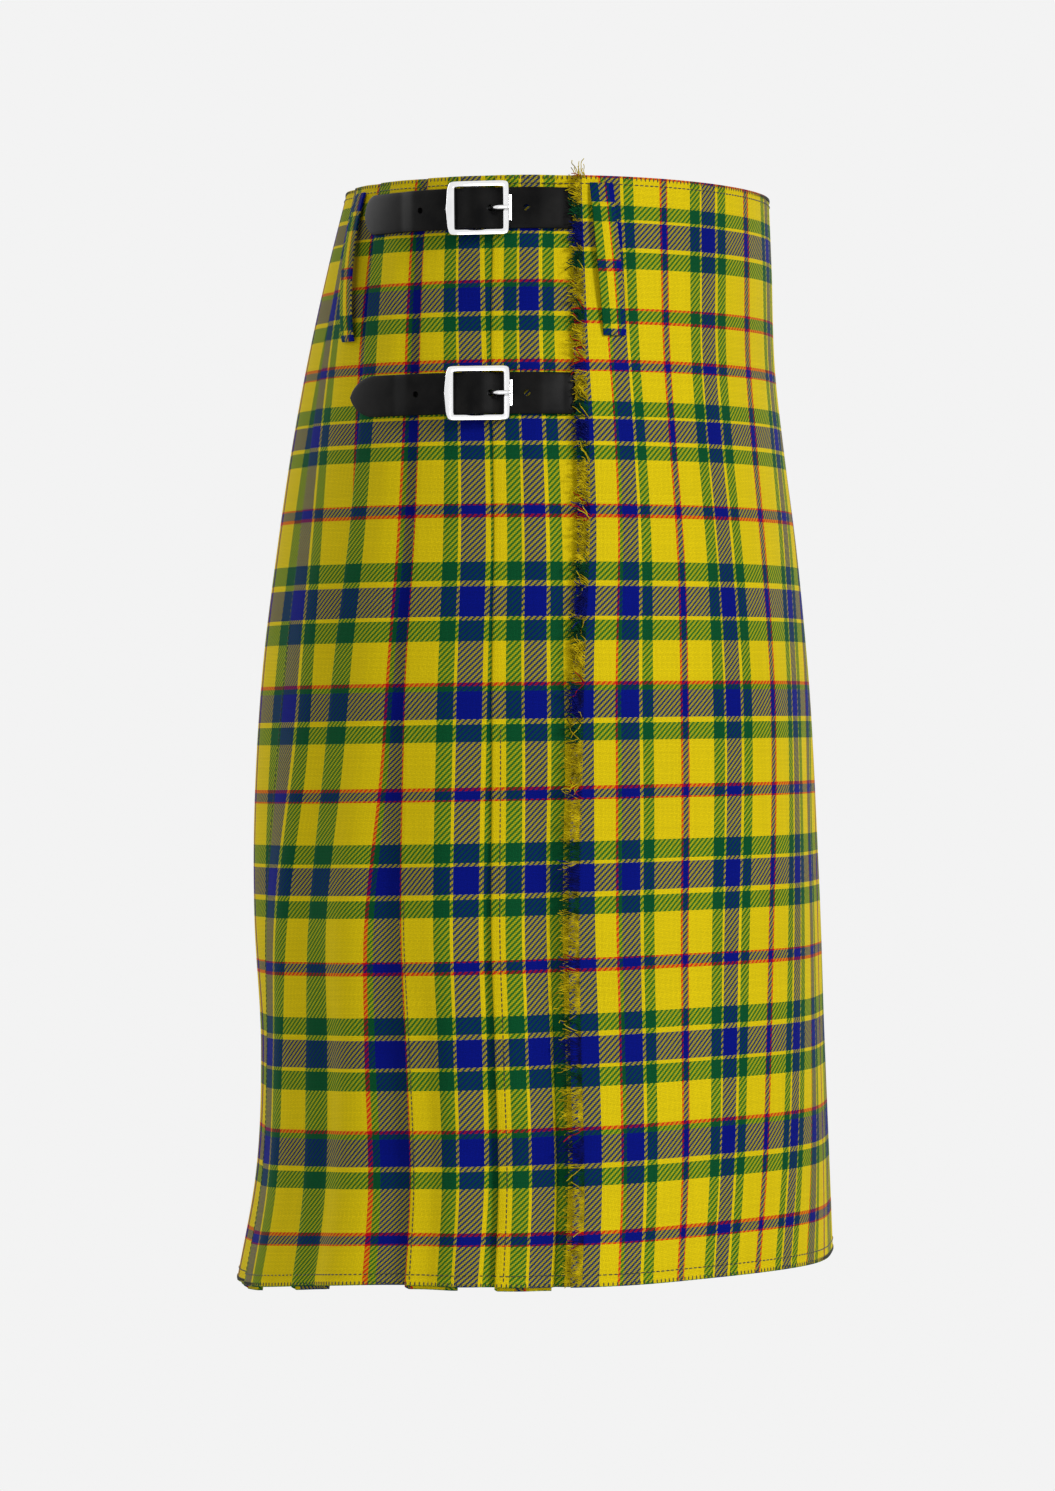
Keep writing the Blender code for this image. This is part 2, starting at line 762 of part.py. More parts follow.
def outline_point(shape, turn):
    """The point of an outline at a turn round it, in mm: along and up."""
    cosine, sine = math.cos(turn), math.sin(turn)
    reach = math.copysign(abs(cosine) ** shape.power, cosine)
    rise = math.copysign(abs(sine) ** shape.power, sine)
    bowed = 1 - rise**2
    if reach > 0:
        return Vector((shape.back * reach + shape.back_bulge * bowed, shape.half_height * rise))
    return Vector((shape.front * reach - shape.front_bulge * bowed, shape.half_height * rise))


def frame_station(section, turn):
    """One place on the frame's closed path, in mm.

    Gives its middle, the way from there to its outer edge, and its lowest and highest out.
    """
    inner = outline_point(FRAME_WINDOW, turn)
    outer = outline_point(FRAME_OUTSIDE, turn)
    middle, half_width = (inner + outer) / 2, (outer - inner) / 2
    share = (middle.x + FRAME_WINDOW.front) / (FRAME_WINDOW.front + FRAME_WINDOW.back)
    out = between(section.front_out, section.back_out, min(max(share, 0.0), 1.0))
    ear = max(0.0, 1 - abs(middle.x) / section.ear_reach)
    low = between(out - section.half_depth, section.ear_low, ear)
    return middle, half_width, low, out + section.half_depth


def make_frame(strap, collection, tools):
    """The chrome frame, a rounded rectangle, with its centre bar joined to both rails."""
    section = FrameSection()
    rows = []
    for number in range(FRAME_STATIONS):
        turn = math.tau * number / FRAME_STATIONS
        middle, half_width, low, high = frame_station(section, turn)
        row = []
        for side in range(FRAME_SIDES):
            round_turn = math.tau * (side + 0.5) / FRAME_SIDES
            at = middle + half_width * math.cos(round_turn)
            out = between(low, high, (1 + math.sin(round_turn)) / 2)
            row.append(strap_place(strap, BUCKLE_AT + at.x * MM, at.y * MM, out * MM))
        rows.append(row)
    bm = loft(rows, ring=True, endless=True)
    piece = new_object(f"buckle_frame_{strap.level}", bm, "chrome", collection, FRAME_DEGREES)
    reach = (FRAME_WINDOW.half_height + FRAME_OUTSIDE.half_height) / 2 * MM
    round_bar = circle((BUCKLE_AT, BAR_OUT), BAR_RADIUS, count=10)
    bar = plate([round_bar], reach, by_profile(strap))
    tool = new_object(f"bar_{strap.level}", bar, "chrome", tools)
    boolean(piece, tool, "UNION")


def clear_scene():
    """Removes every object that the file opened with."""
    for thing in list(bpy.data.objects):
        bpy.data.objects.remove(thing)


def make_kilt():
    """Builds every piece of the kilt in a collection of its own."""
    clear_scene()
    kilt = bpy.data.collections.new("scottish_kilt")
    tools = bpy.data.collections.new("tools")
    bpy.context.scene.collection.children.link(kilt)
    bpy.context.scene.collection.children.link(tools)
    make_cloth(kilt)
    make_fringe(kilt)
    for loop in LOOPS:
        make_loop(loop, kilt)
    for strap in STRAPS:
        make_strap(strap, kilt, tools)
        make_tab(strap, kilt, tools)
        make_prong(strap, kilt)
        make_frame(strap, kilt, tools)


make_kilt()
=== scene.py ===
"""The looks of a 24-inch Scottish kilt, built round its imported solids.

Frame: the origin is the centre of the waist edge. +Z is up, -Y is the wearer's front and
-X the wearer's right. An angle runs from centre front (0) by the right side (90) and the
centre back (180) to the left side (270). A drop is a length down from the waist. "Out" is
a height off the kilt's outer surface, so the layers under that surface have negative outs.
A sett is the tartan's repeat, and a place in it is counted in metres of cloth.
"""

from __future__ import annotations

import logging
import math
from dataclasses import dataclass, field
from enum import Enum
from typing import Callable, Mapping, NamedTuple, Optional, Sequence, Union

import bmesh
import bpy
import numpy as np
from mathutils import Euler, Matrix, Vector


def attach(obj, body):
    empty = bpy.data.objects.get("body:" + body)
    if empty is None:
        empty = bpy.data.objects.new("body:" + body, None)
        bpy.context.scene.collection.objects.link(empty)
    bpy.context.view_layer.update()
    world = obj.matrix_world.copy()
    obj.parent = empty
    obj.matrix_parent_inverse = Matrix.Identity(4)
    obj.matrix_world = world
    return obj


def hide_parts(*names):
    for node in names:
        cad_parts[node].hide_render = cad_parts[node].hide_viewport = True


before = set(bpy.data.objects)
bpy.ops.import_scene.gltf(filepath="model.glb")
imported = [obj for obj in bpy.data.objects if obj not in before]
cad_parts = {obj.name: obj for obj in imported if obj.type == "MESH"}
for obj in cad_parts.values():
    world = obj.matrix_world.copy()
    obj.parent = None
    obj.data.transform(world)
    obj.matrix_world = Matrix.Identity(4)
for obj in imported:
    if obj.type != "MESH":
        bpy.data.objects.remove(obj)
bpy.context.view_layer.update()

MM = 0.001
LENGTH = 598.5 * MM         # waist to hem, at the side
BODY = "root"
SETT_MAP = "Cloth"          # the map of places in the sett, in metres
THREAD_MAP = "Threads"      # and of true lengths along and across the cloth

Array = np.ndarray
Number = Union[float, Array]

log = logging.getLogger("kilt")


# The worn form


class Section(NamedTuple):
    """A level ring of the worn kilt: drop, then reach to the front, back and side, in mm."""

    drop: float
    front: float
    back: float
    side: float


class Line(NamedTuple):
    """A value that changes down the cloth, given at five drops."""

    waist: float
    strap: float        # at the lower strap
    seat: float
    thigh: float
    hem: float


class Ripple(NamedTuple):
    """A soft ridge, or a trough if its height is negative, that runs down to the hem."""

    line: Line          # its angle in degrees
    top: float          # the drop from which it shows, in mm
    width: float        # half of its width, in mm
    height: float       # in mm


SECTIONS = (
    Section(0.0, 119.0, 117.0, 146.0),
    Section(40.0, 120.5, 127.0, 152.0),
    Section(100.0, 122.5, 140.0, 165.0),
    Section(145.0, 127.5, 148.0, 173.0),
    Section(200.0, 134.5, 156.0, 180.0),
    Section(260.0, 140.0, 163.5, 185.0),
    Section(330.0, 145.0, 168.0, 189.0),
    Section(400.0, 148.5, 168.5, 191.0),
    Section(470.0, 151.0, 165.5, 193.0),
    Section(540.0, 154.0, 168.5, 197.0),
    Section(598.5, 156.5, 179.0, 202.0),
)

APRON_EDGE = Line(85.5, 81.6, 82.7, 84.8, 83.7)
FOLDS = (
    Line(106.8, 100.8, 98.5, 99.3, 97.5),
    Line(127.0, 119.1, 117.4, 117.8, 114.8),
    Line(145.6, 136.3, 136.9, 144.8, 142.5),
    Line(162.0, 156.0, 155.5, 165.0, 164.0),
    Line(180.0, 177.0, 177.5, 183.5, 185.0),
    Line(198.0, 197.0, 198.0, 201.0, 204.0),
    Line(217.0, 217.0, 218.0, 220.0, 222.0),
    Line(237.0, 237.0, 238.0, 239.0, 240.0),
    Line(257.0, 257.5, 258.0, 258.0, 258.0),
    Line(278.0, 278.0, 278.0, 277.5, 277.0),
)

RIPPLES = (
    Ripple(Line(91.5, 87.6, 88.2, 89.2, 88.2), 260, 10, -5.5),
    Ripple(Line(112.0, 109.0, 108.0, 108.5, 106.0), 240, 17, 2.8),
    Ripple(Line(122.0, 115.0, 113.0, 113.0, 110.5), 400, 10, -2.6),
    Ripple(Line(134.0, 127.0, 127.0, 130.0, 128.0), 300, 21, 3.6),
    Ripple(Line(141.0, 133.0, 133.0, 138.0, 137.0), 380, 11, -3.0),
    Ripple(Line(152.0, 146.0, 147.0, 154.0, 153.0), 280, 19, 3.2),
    Ripple(Line(171.0, 167.0, 168.0, 175.0, 174.0), 360, 18, -2.6),
    Ripple(Line(190.0, 188.0, 189.0, 193.0, 195.0), 270, 22, 2.6),
    Ripple(Line(207.0, 207.0, 208.0, 210.0, 212.0), 340, 20, -2.0),
    Ripple(Line(228.0, 228.0, 229.0, 230.0, 231.0), 300, 24, 2.4),
    Ripple(Line(247.0, 247.0, 248.0, 249.0, 249.0), 370, 20, -1.8),
    Ripple(Line(267.0, 267.0, 268.0, 268.0, 268.0), 320, 20, 2.0),
    Ripple(Line(62.0, 61.0, 60.0, 59.0, 58.0), 210, 30, -2.8),
    Ripple(Line(38.0, 36.0, 34.0, 32.0, 30.0), 180, 38, 3.2),
    Ripple(Line(12.0, 11.0, 10.0, 8.0, 6.0), 260, 36, -2.4),
    Ripple(Line(-14.0, -15.0, -16.0, -18.0, -20.0), 200, 40, 2.2),
    Ripple(Line(-40.0, -41.0, -42.0, -44.0, -46.0), 300, 34, -2.2),
    Ripple(Line(-64.0, -63.0, -62.0, -61.0, -60.0), 240, 30, 1.8),
)


def between(low: Number, high: Number, share: Number) -> Number:
    """The value a share of the way from low to high."""
    return low + (high - low) * share


def eased(share: Number) -> Number:
    """A share that starts and ends gently, held between 0 and 1."""
    held = np.clip(share, 0.0, 1.0)
    return held * held * (3 - 2 * held)


def nearest_turn(angle: Number) -> Number:
    """An angle less its whole turns, between half a turn back and half a turn on."""
    return (angle + math.pi) % math.tau - math.pi


def smooth_through(knots: Array, values: Array, at: Array) -> Array:
    """A smooth curve through values at knots.

    Args:
        knots: Rising positions.
        values: The value at each knot.
        at: Where the curve is wanted.

    Returns:
        The curve's values.
    """
    slopes = np.gradient(values, knots)
    first = np.clip(np.searchsorted(knots, at) - 1, 0, len(knots) - 2)
    width = knots[first + 1] - knots[first]
    t = (at - knots[first]) / width
    return (
        (1 + 2 * t) * (1 - t) ** 2 * values[first]
        + t * (1 - t) ** 2 * width * slopes[first]
        + t**2 * (3 - 2 * t) * values[first + 1]
        + t**2 * (t - 1) * width * slopes[first + 1]
    )


@dataclass(frozen=True)
class WornForm:
    """The surface that the worn cloth follows, with its soft folds and its hem's tilt."""

    length: float = LENGTH
    hem_tilt: float = 8.5 * MM      # the hem rises this much in front and falls it behind
    tilt_starts: float = 200 * MM
    line_drops: tuple[float, ...] = (0.0, 120 * MM, 300 * MM, 480 * MM, LENGTH)
    hem_lift: float = 6.2 * MM      # the hem is cut this much higher over each hip's pleats
    lift_at: float = math.radians(122)
    lift_span: float = math.radians(32)
    lift_power: int = 8             # how closely that lift keeps to the hem
    waist_dip: float = 3.2 * MM     # the waist edge dips this much at the front
    dip_span: float = math.radians(62)
    dip_fades: float = 60 * MM
    fell: float = 220 * MM          # the pleats are sewn flat down to this drop
    pitch_sewn: float = 1.6 * MM    # one layer of cloth with its air gap, where sewn
    pitch_hem: float = 2.4 * MM
    underlap_waist: float = 20 * MM
    underlap_hem: float = 30 * MM
    ripple_fade: float = 110 * MM   # drop over which a ripple grows to its height
    mean_radius: float = 170 * MM   # turns a ripple's angles into widths
    walk_steps: int = 12            # parts in which a walk round a ring is summed
    sections: tuple[Section, ...] = SECTIONS
    ripples: tuple[Ripple, ...] = RIPPLES

    def ring(self, drop: Array) -> tuple[Array, Array, Array]:
        """Centre, half depth and half width of the kilt's rings at drops, in metres."""
        table = np.array(self.sections) * MM
        front, back, side = (
            smooth_through(table[:, 0], table[:, column], drop) for column in (1, 2, 3)
        )
        return (back - front) / 2, (back + front) / 2, side

    def line(self, line: Line, drop: Number) -> Number:
        """A line's value at drops."""
        return smooth_through(np.array(self.line_drops), np.array(line), drop)

    def angle(self, line: Line, drop: Number) -> Number:
        """A line's angle at drops, in radians, from its values in degrees."""
        return np.radians(self.line(line, drop))

    def relief(self, angle: Array, drop: Array) -> Array:
        """How far the soft folds lift the cloth at angles and drops."""
        height = np.zeros_like(angle)
        for ripple in self.ripples:
            gap = nearest_turn(angle - self.angle(ripple.line, drop))
            across = np.exp(-((gap * self.mean_radius / (ripple.width * MM)) ** 2))
            grown = eased((drop - ripple.top * MM) / self.ripple_fade)
            height = height + ripple.height * MM * across * grown
        return height

    def place(self, angle: Number, drop: Number, out: Number = 0.0, sag: Number = 0.0) -> Array:
        """World points on the worn form.

        Args:
            angle: Angles round the body, in radians.
            drop: Drops down the cloth.
            out: Heights off the outer surface.
            sag: Extra drop at the hem.

        Returns:
            Points, with x, y and z on the last axis.
        """
        angle, drop, out, sag = np.broadcast_arrays(
            *(np.asarray(value, float) for value in (angle, drop, out, sag))
        )
        centre, depth, side = self.ring(drop)
        sine, cosine = np.sin(angle), np.cos(angle)
        free = np.maximum(0.0, (drop - self.tilt_starts) / (self.length - self.tilt_starts))
        from_front = np.abs(nearest_turn(angle))
        lift = self.hem_lift * np.exp(-(((from_front - self.lift_at) / self.lift_span) ** 2))
        tilt = self.hem_tilt * cosine - sag
        dip = self.waist_dip * np.exp(-((from_front / self.dip_span) ** 2))
        dip = dip * (1 - eased(drop / self.dip_fades))
        height = -drop - dip + tilt * free + lift * free**self.lift_power
        base = np.stack([-side * sine, centre - depth * cosine, height], axis=-1)
        raised = out + self.relief(angle, drop)
        return base + self.outward(angle, drop) * raised[..., None]

    def outward(self, angle: Array, drop: Array) -> Array:
        """The level direction straight out of the form at angles and drops."""
        _, depth, side = self.ring(drop)
        normal = np.stack(
            [-np.sin(angle) / side, -np.cos(angle) / depth, np.zeros_like(side)], axis=-1
        )
        return normal / np.linalg.norm(normal, axis=-1, keepdims=True)

    def along(self, angle: Number, drop: Number, distance: Number) -> Array:
        """Angles reached by walking distances round the rings at drops."""
        _, depth, side = self.ring(np.asarray(drop, float))
        for _ in range(self.walk_steps):
            speed = np.hypot(side * np.cos(angle), depth * np.sin(angle))
            angle = angle + distance / self.walk_steps / speed
        return angle

    def upright(self, angle: Number, drop: float, other_drop: Number) -> Number:
        """Angles, on the kilt's right, straight over or under some at another drop."""
        centre, depth, _ = self.ring(np.asarray(drop, float))
        level = centre - depth * np.cos(angle)
        centre, depth, _ = self.ring(np.asarray(other_drop, float))
        return np.arccos(np.clip((centre - level) / depth, -1.0, 1.0))

    def free_share(self, drop: Number) -> Number:
        """How free the pleats hang: 0 down to the fell, 1 at the hem."""
        return np.maximum(0.0, (drop - self.fell) / (self.length - self.fell))

    def pitch(self, drop: Number) -> Number:
        """Depth of one layer of cloth at a drop."""
        return between(self.pitch_sewn, self.pitch_hem, self.free_share(drop))

    def underlap(self, drop: Number) -> Number:
        """Length of cloth folded under a pleat at a drop."""
        return between(self.underlap_waist, self.underlap_hem, drop / self.length)


FORM = WornForm()


# The tartan


class Yarn(Enum):
    """The yarns of the tartan, as plain colours."""

    YELLOW = (0.800, 0.610, 0.004)
    BLUE = (0.001, 0.006, 0.220)
    GREEN = (0.002, 0.082, 0.024)
    RED = (0.640, 0.004, 0.010)

    @property
    def root(self) -> tuple[float, float, float, float]:
        """The square root of the colour: two yarns' roots multiply into their blend, whose extra
        darkness where they differ is partly painted shade.
        """
        return (*(math.sqrt(part) for part in self.value), 1.0)


class Stripe(NamedTuple):
    """A stripe of the tartan: its yarn and its width in mm."""

    yarn: Yarn
    width: float


YELLOW, BLUE, GREEN, RED = Yarn.YELLOW, Yarn.BLUE, Yarn.GREEN, Yarn.RED

GUARDED_BLUE = (
    Stripe(GREEN, 9.6),
    Stripe(YELLOW, 2.0),
    Stripe(BLUE, 15.2),
    Stripe(YELLOW, 2.0),
    Stripe(GREEN, 9.4),
)
NARROW_LINE = (Stripe(RED, 1.2), Stripe(BLUE, 4.6), Stripe(RED, 1.2))
SETT = (
    Stripe(RED, 1.6),
    Stripe(GREEN, 2.4),
    Stripe(BLUE, 15.2),
    Stripe(YELLOW, 2.3),
    Stripe(GREEN, 9.3),
    Stripe(YELLOW, 24.0),
    *NARROW_LINE,
    Stripe(YELLOW, 22.4),
    *GUARDED_BLUE,
    Stripe(YELLOW, 23.0),
    *NARROW_LINE,
    Stripe(YELLOW, 22.4),
    *GUARDED_BLUE,
    Stripe(YELLOW, 22.0),
)
REPEAT = sum(stripe.width for stripe in SETT) * MM

APRON_TOP = (
    Stripe(RED, 0.9),
    Stripe(YELLOW, 15.1),
    Stripe(GREEN, 7.7),
    Stripe(YELLOW, 1.6),
    Stripe(BLUE, 14.0),
    Stripe(YELLOW, 2.3),
    Stripe(GREEN, 9.4),
    Stripe(YELLOW, 21.3),
    Stripe(RED, 1.4),
    Stripe(GREEN, 5.8),
    Stripe(RED, 1.4),
    Stripe(YELLOW, 19.1),
)
APRON_TOP_DEPTH = sum(stripe.width for stripe in APRON_TOP) * MM
APRON_TOP_ENDS = 95 * MM    # the regular rows start here, in the same yellow
APRON_TOP_PAGE = 5.0        # the apron's top rows are charted from this height of the map


class WeftRow(NamedTuple):
    """A drop and the place in the sett of the row that crosses the cloth there, in mm."""

    drop: float
    sett: float


WEFT_ROWS = (
    WeftRow(-10, 158),
    WeftRow(10, 174.8),
    WeftRow(39.2, 213),
    WeftRow(57.2, 235),
    WeftRow(74.2, 254),
    WeftRow(85.2, 265.8),
    WeftRow(100.4, 289.8),
    WeftRow(106.8, 296.8),
    WeftRow(123, 319.2),
    WeftRow(154, 357.4),
    WeftRow(178, 380.4),
    WeftRow(185, 387.4),
    WeftRow(209, 409.8),
    WeftRow(251, 448),
    WeftRow(274, 470),
    WeftRow(512, 705),
    WeftRow(620, 811),
)


def weft_sett(drop: Number) -> Array:
    """The place in the sett of the rows at drops."""
    drops, setts = np.array(WEFT_ROWS).T * MM
    return np.interp(drop, drops, setts)


def steady(value: float) -> Line:
    """A line of one value."""
    return Line(value, value, value, value, value)


@dataclass(frozen=True)
class WarpChart:
    """Where a panel's stripes fall: its place in the sett at its edge, and from there on."""

    at_edge: Line                       # place in the sett, in mm
    stretch: Line = steady(1.0)         # sett for each metre of cloth
    slowing: Line = steady(0.0)         # change of that stretch, for each mm
    slows_for: float = 150 * MM
    settles_after: float = 220 * MM     # from this distance a wide piece's stripes spread evenly
    at_far_side: Optional[Line] = None  # to this place in the sett at its far side, in mm

    def sett(self, distance: Array, drop: Array) -> Array:
        """The place in the sett at distances from the edge, which count towards the front."""
        if self.at_far_side is None:
            return self._charted(distance, drop)
        whole = distance.max(axis=1, keepdims=True)
        share = np.maximum(distance - self.settles_after, 0.0) / (whole - self.settles_after)
        here = self._charted(np.minimum(distance, self.settles_after), drop)
        return between(here, FORM.line(self.at_far_side, drop) * MM, share)

    def _charted(self, distance: Array, drop: Array) -> Array:
        """The place at distances by the chart's stretch alone."""
        near = np.clip(distance, 0.0, self.slows_for)
        rate = FORM.line(self.stretch, drop) + FORM.line(self.slowing, drop) * near / MM
        return FORM.line(self.at_edge, drop) * MM + distance * rate


# Shader sums and nodes


Term = Union["Value", float]


def sum_of(operation: str, swapped: bool = False) -> Callable[["Value", Term], "Value"]:
    """An operator of Value, made as a Math node of its two sides.

    Args:
        operation: The Math node's operation.
        swapped: Whether the value is the right side.

    Returns:
        The operator.
    """

    def operator(value: "Value", other: Term) -> "Value":
        """The result for a value and what stands on its other side."""
        return value.sum(operation, *((other, value) if swapped else (value, other)))

    return operator


@dataclass(frozen=True)
class Value:
    """A number that varies over a surface: a node's socket that takes part in sums."""

    socket: bpy.types.NodeSocket

    def sum(self, operation: str, *terms: Term) -> "Value":
        """The result of a Math node, given its terms in the order of its inputs."""
        tree = self.socket.id_data
        node = tree.nodes.new("ShaderNodeMath")
        node.operation = operation
        for socket, term in zip(node.inputs, terms):
            if isinstance(term, Value):
                tree.links.new(term.socket, socket)
            else:
                socket.default_value = term
        return Value(node.outputs[0])

    __add__ = sum_of("ADD")
    __radd__ = sum_of("ADD", swapped=True)
    __sub__ = sum_of("SUBTRACT")
    __rsub__ = sum_of("SUBTRACT", swapped=True)
    __mul__ = sum_of("MULTIPLY")
    __truediv__ = sum_of("DIVIDE")
    __lt__ = sum_of("LESS_THAN")        # 1 where it holds, else 0
    __gt__ = sum_of("GREATER_THAN")

    def whole(self) -> "Value":
        """The whole number below this."""
        return self.sum("FLOOR", self)

    def fraction(self) -> "Value":
        """What this has over the whole number below it."""
        return self.sum("FRACT", self)

    def held(self) -> "Value":
        """This, held between 0 and 1."""
        result = self.sum("ADD", self, 0.0)
        result.socket.node.use_clamp = True
        return result


Feed = Union[Value, bpy.types.Node, bpy.types.NodeSocket, float, int, bool, str, tuple, bpy.types.ID]
MIX_FACTOR, MIX_A, MIX_B, MIX_RESULT = 0, 6, 7, 2      # a colour Mix node's sockets


@dataclass
class NodeTree:
    """A node tree of any kind, with one way to add a node to it."""

    tree: bpy.types.NodeTree

    def node(
        self, kind: str, inputs: Optional[Mapping[Union[str, int], Feed]] = None, **settings: object
    ) -> bpy.types.Node:
        """Adds a node.

        Args:
            kind: The node's type.
            inputs: What feeds each socket, by the socket's name or number.
            settings: The node's properties.

        Returns:
            The new node.
        """
        node = self.tree.nodes.new(kind)
        for name, value in settings.items():
            setattr(node, name, value)
        for key, value in (inputs or {}).items():
            self.feed(node.inputs[key], value)
        return node

    def feed(self, socket: bpy.types.NodeSocket, value: Feed) -> None:
        """Links a socket, to the first output if it is fed a node, or sets its own value."""
        if isinstance(value, Value):
            value = value.socket
        if isinstance(value, bpy.types.Node):
            value = value.outputs[0]
        if isinstance(value, bpy.types.NodeSocket):
            self.tree.links.new(value, socket)
        else:
            socket.default_value = value


class Surface(NodeTree):
    """A material under construction, with its shader."""

    def __init__(self, name: str, **constants: float) -> None:
        """Starts a named material, whose shader wears some constants."""
        self.material = bpy.data.materials.new(name)
        self.material.use_nodes = True
        super().__init__(self.material.node_tree)
        self.shader = self.tree.nodes["Principled BSDF"]
        self.wear(**constants)

    def wear(self, **feeds: Feed) -> None:
        """Feeds the shader's sockets, named with _ for a space."""
        for name, value in feeds.items():
            self.feed(self.shader.inputs[name.replace("_", " ")], value)

    def object_point(self) -> bpy.types.NodeSocket:
        """Object coordinates."""
        return self.node("ShaderNodeTexCoord").outputs["Object"]

    def axes(self, name: str) -> tuple[Value, Value]:
        """The two axes of a named map."""
        place = self.node("ShaderNodeUVMap", uv_map=name)
        axes = self.node("ShaderNodeSeparateXYZ", {0: place}).outputs
        return Value(axes[0]), Value(axes[1])

    def noise(self, scale: float, detail: float = 2.0, stretch: tuple = (1, 1, 1)) -> Value:
        """Soft noise between 0 and 1, of a scale for each metre, stretched by axis."""
        point = self.node("ShaderNodeMapping", {"Vector": self.object_point(), "Scale": stretch})
        noise = self.node("ShaderNodeTexNoise", {"Vector": point, "Scale": scale, "Detail": detail})
        return Value(noise.outputs["Fac"])

    def random(self, number: Value) -> Value:
        """A random value between 0 and 1 for each whole number."""
        node = self.node("ShaderNodeTexWhiteNoise", noise_dimensions="1D")
        self.feed(node.inputs["W"], number)
        return Value(node.outputs["Value"])

    def mix(self, factor: Feed, low: Feed, high: Feed) -> bpy.types.NodeSocket:
        """Two colours mixed."""
        feeds = {MIX_FACTOR: factor, MIX_A: low, MIX_B: high}
        return self.node("ShaderNodeMix", feeds, data_type="RGBA").outputs[MIX_RESULT]

    def product(self, first: Feed, second: Feed) -> bpy.types.Node:
        """Two colours multiplied."""
        return self.node("ShaderNodeVectorMath", {0: first, 1: second}, operation="MULTIPLY")

    def scaled(self, colour: Feed, amount: Value) -> bpy.types.Node:
        """A colour made lighter or darker by a varying amount."""
        return self.node("ShaderNodeVectorMath", {0: colour, "Scale": amount}, operation="SCALE")

    def stripes(self, place: Value, stripes: Sequence[Stripe]) -> bpy.types.Node:
        """The root colour of stripes laid side by side, at places from 0 to 1 along them."""
        node = self.node("ShaderNodeValToRGB", {"Fac": place})
        ramp = node.color_ramp
        ramp.interpolation = "CONSTANT"
        ramp.elements.remove(ramp.elements[1])
        ramp.elements[0].color = stripes[0].yarn.root
        total = sum(stripe.width for stripe in stripes)
        at = stripes[0].width
        for stripe in stripes[1:]:
            ramp.elements.new(at / total).color = stripe.yarn.root
            at += stripe.width
        return node

    def bump(self, height: Value, distance: float, strength: float) -> None:
        """Gives the shader a bump of a height in metres where the value is 1."""
        feeds = {"Height": height, "Distance": distance, "Strength": strength}
        self.wear(Normal=self.node("ShaderNodeBump", feeds))


# Finishes, whose scales are for each metre


@dataclass(frozen=True)
class TartanFinish:
    """Worsted cloth in a 2/2 twill, charted by the piece's own map in metres of sett."""

    name: str = "tartan"
    thread: float = 0.78 * MM       # one thread with its gap
    repeat: float = 4.0             # threads in the twill's repeat
    tone: float = 0.12              # how much one thread may differ from the next
    gap_shade: float = 0.46         # how dark the gaps between threads are
    blend_and_gap_shade: float = 0.52          # how far crossing yarns take on each other's colour; this darkens crossings of unlike yarns, partly as painted shade in the gaps between them
    cloud_scale: float = 14.0
    cloud_shade: float = 0.12
    thread_height: float = 0.10 * MM

    def material(self) -> bpy.types.Material:
        """Builds the cloth's material."""
        surface = Surface(self.name, Roughness=0.82, Specular_IOR_Level=0.06)
        warp_place, weft_place = surface.axes(SETT_MAP)
        u, v = surface.axes(THREAD_MAP)
        warp = surface.stripes((warp_place / REPEAT).fraction(), SETT)
        weft = self.weft(surface, weft_place)
        column, row = (u / self.thread).whole(), (v / self.thread).whole()
        warp_over = ((column + row) / self.repeat).fraction() < 0.5
        weft_over = 1.0 - warp_over
        over = surface.mix(warp_over, weft, warp)
        under = surface.mix(warp_over, warp, weft)
        # Crossing yarns blend towards the product of their roots, darker than their mean where they
        # differ: partly their colours mixing, partly painted shade in the gaps between threads.
        colour = surface.product(over, surface.mix(self.blend_and_gap_shade, over, under))
        number = column * warp_over + (row + 0.5) * weft_over
        colour = surface.scaled(colour, (surface.random(number) - 0.5) * self.tone + 1.0)
        height = self.roundness(u) * warp_over + self.roundness(v) * weft_over
        cloud = (surface.noise(self.cloud_scale, 3.0) - 0.5) * self.cloud_shade
        light = (1.0 - self.gap_shade) + height * self.gap_shade + cloud
        surface.wear(Base_Color=surface.scaled(colour, light))
        surface.bump(height, self.thread_height, 0.5)
        return surface.material

    @staticmethod
    def weft(surface: Surface, v: Value) -> bpy.types.NodeSocket:
        """The rows' root colour: the regular sett, or the apron's top rows on their page."""
        regular = surface.stripes((v / REPEAT).fraction(), SETT)
        top = surface.stripes((v - APRON_TOP_PAGE) / APRON_TOP_DEPTH, APRON_TOP)
        return surface.mix(v > APRON_TOP_PAGE - 1.0, regular, top)

    def roundness(self, place: Value) -> Value:
        """The height of a round thread across its width, from 0 at its gap to 1."""
        offset = (place / self.thread).fraction() - 0.5
        return 1.0 - offset * offset * 4.0


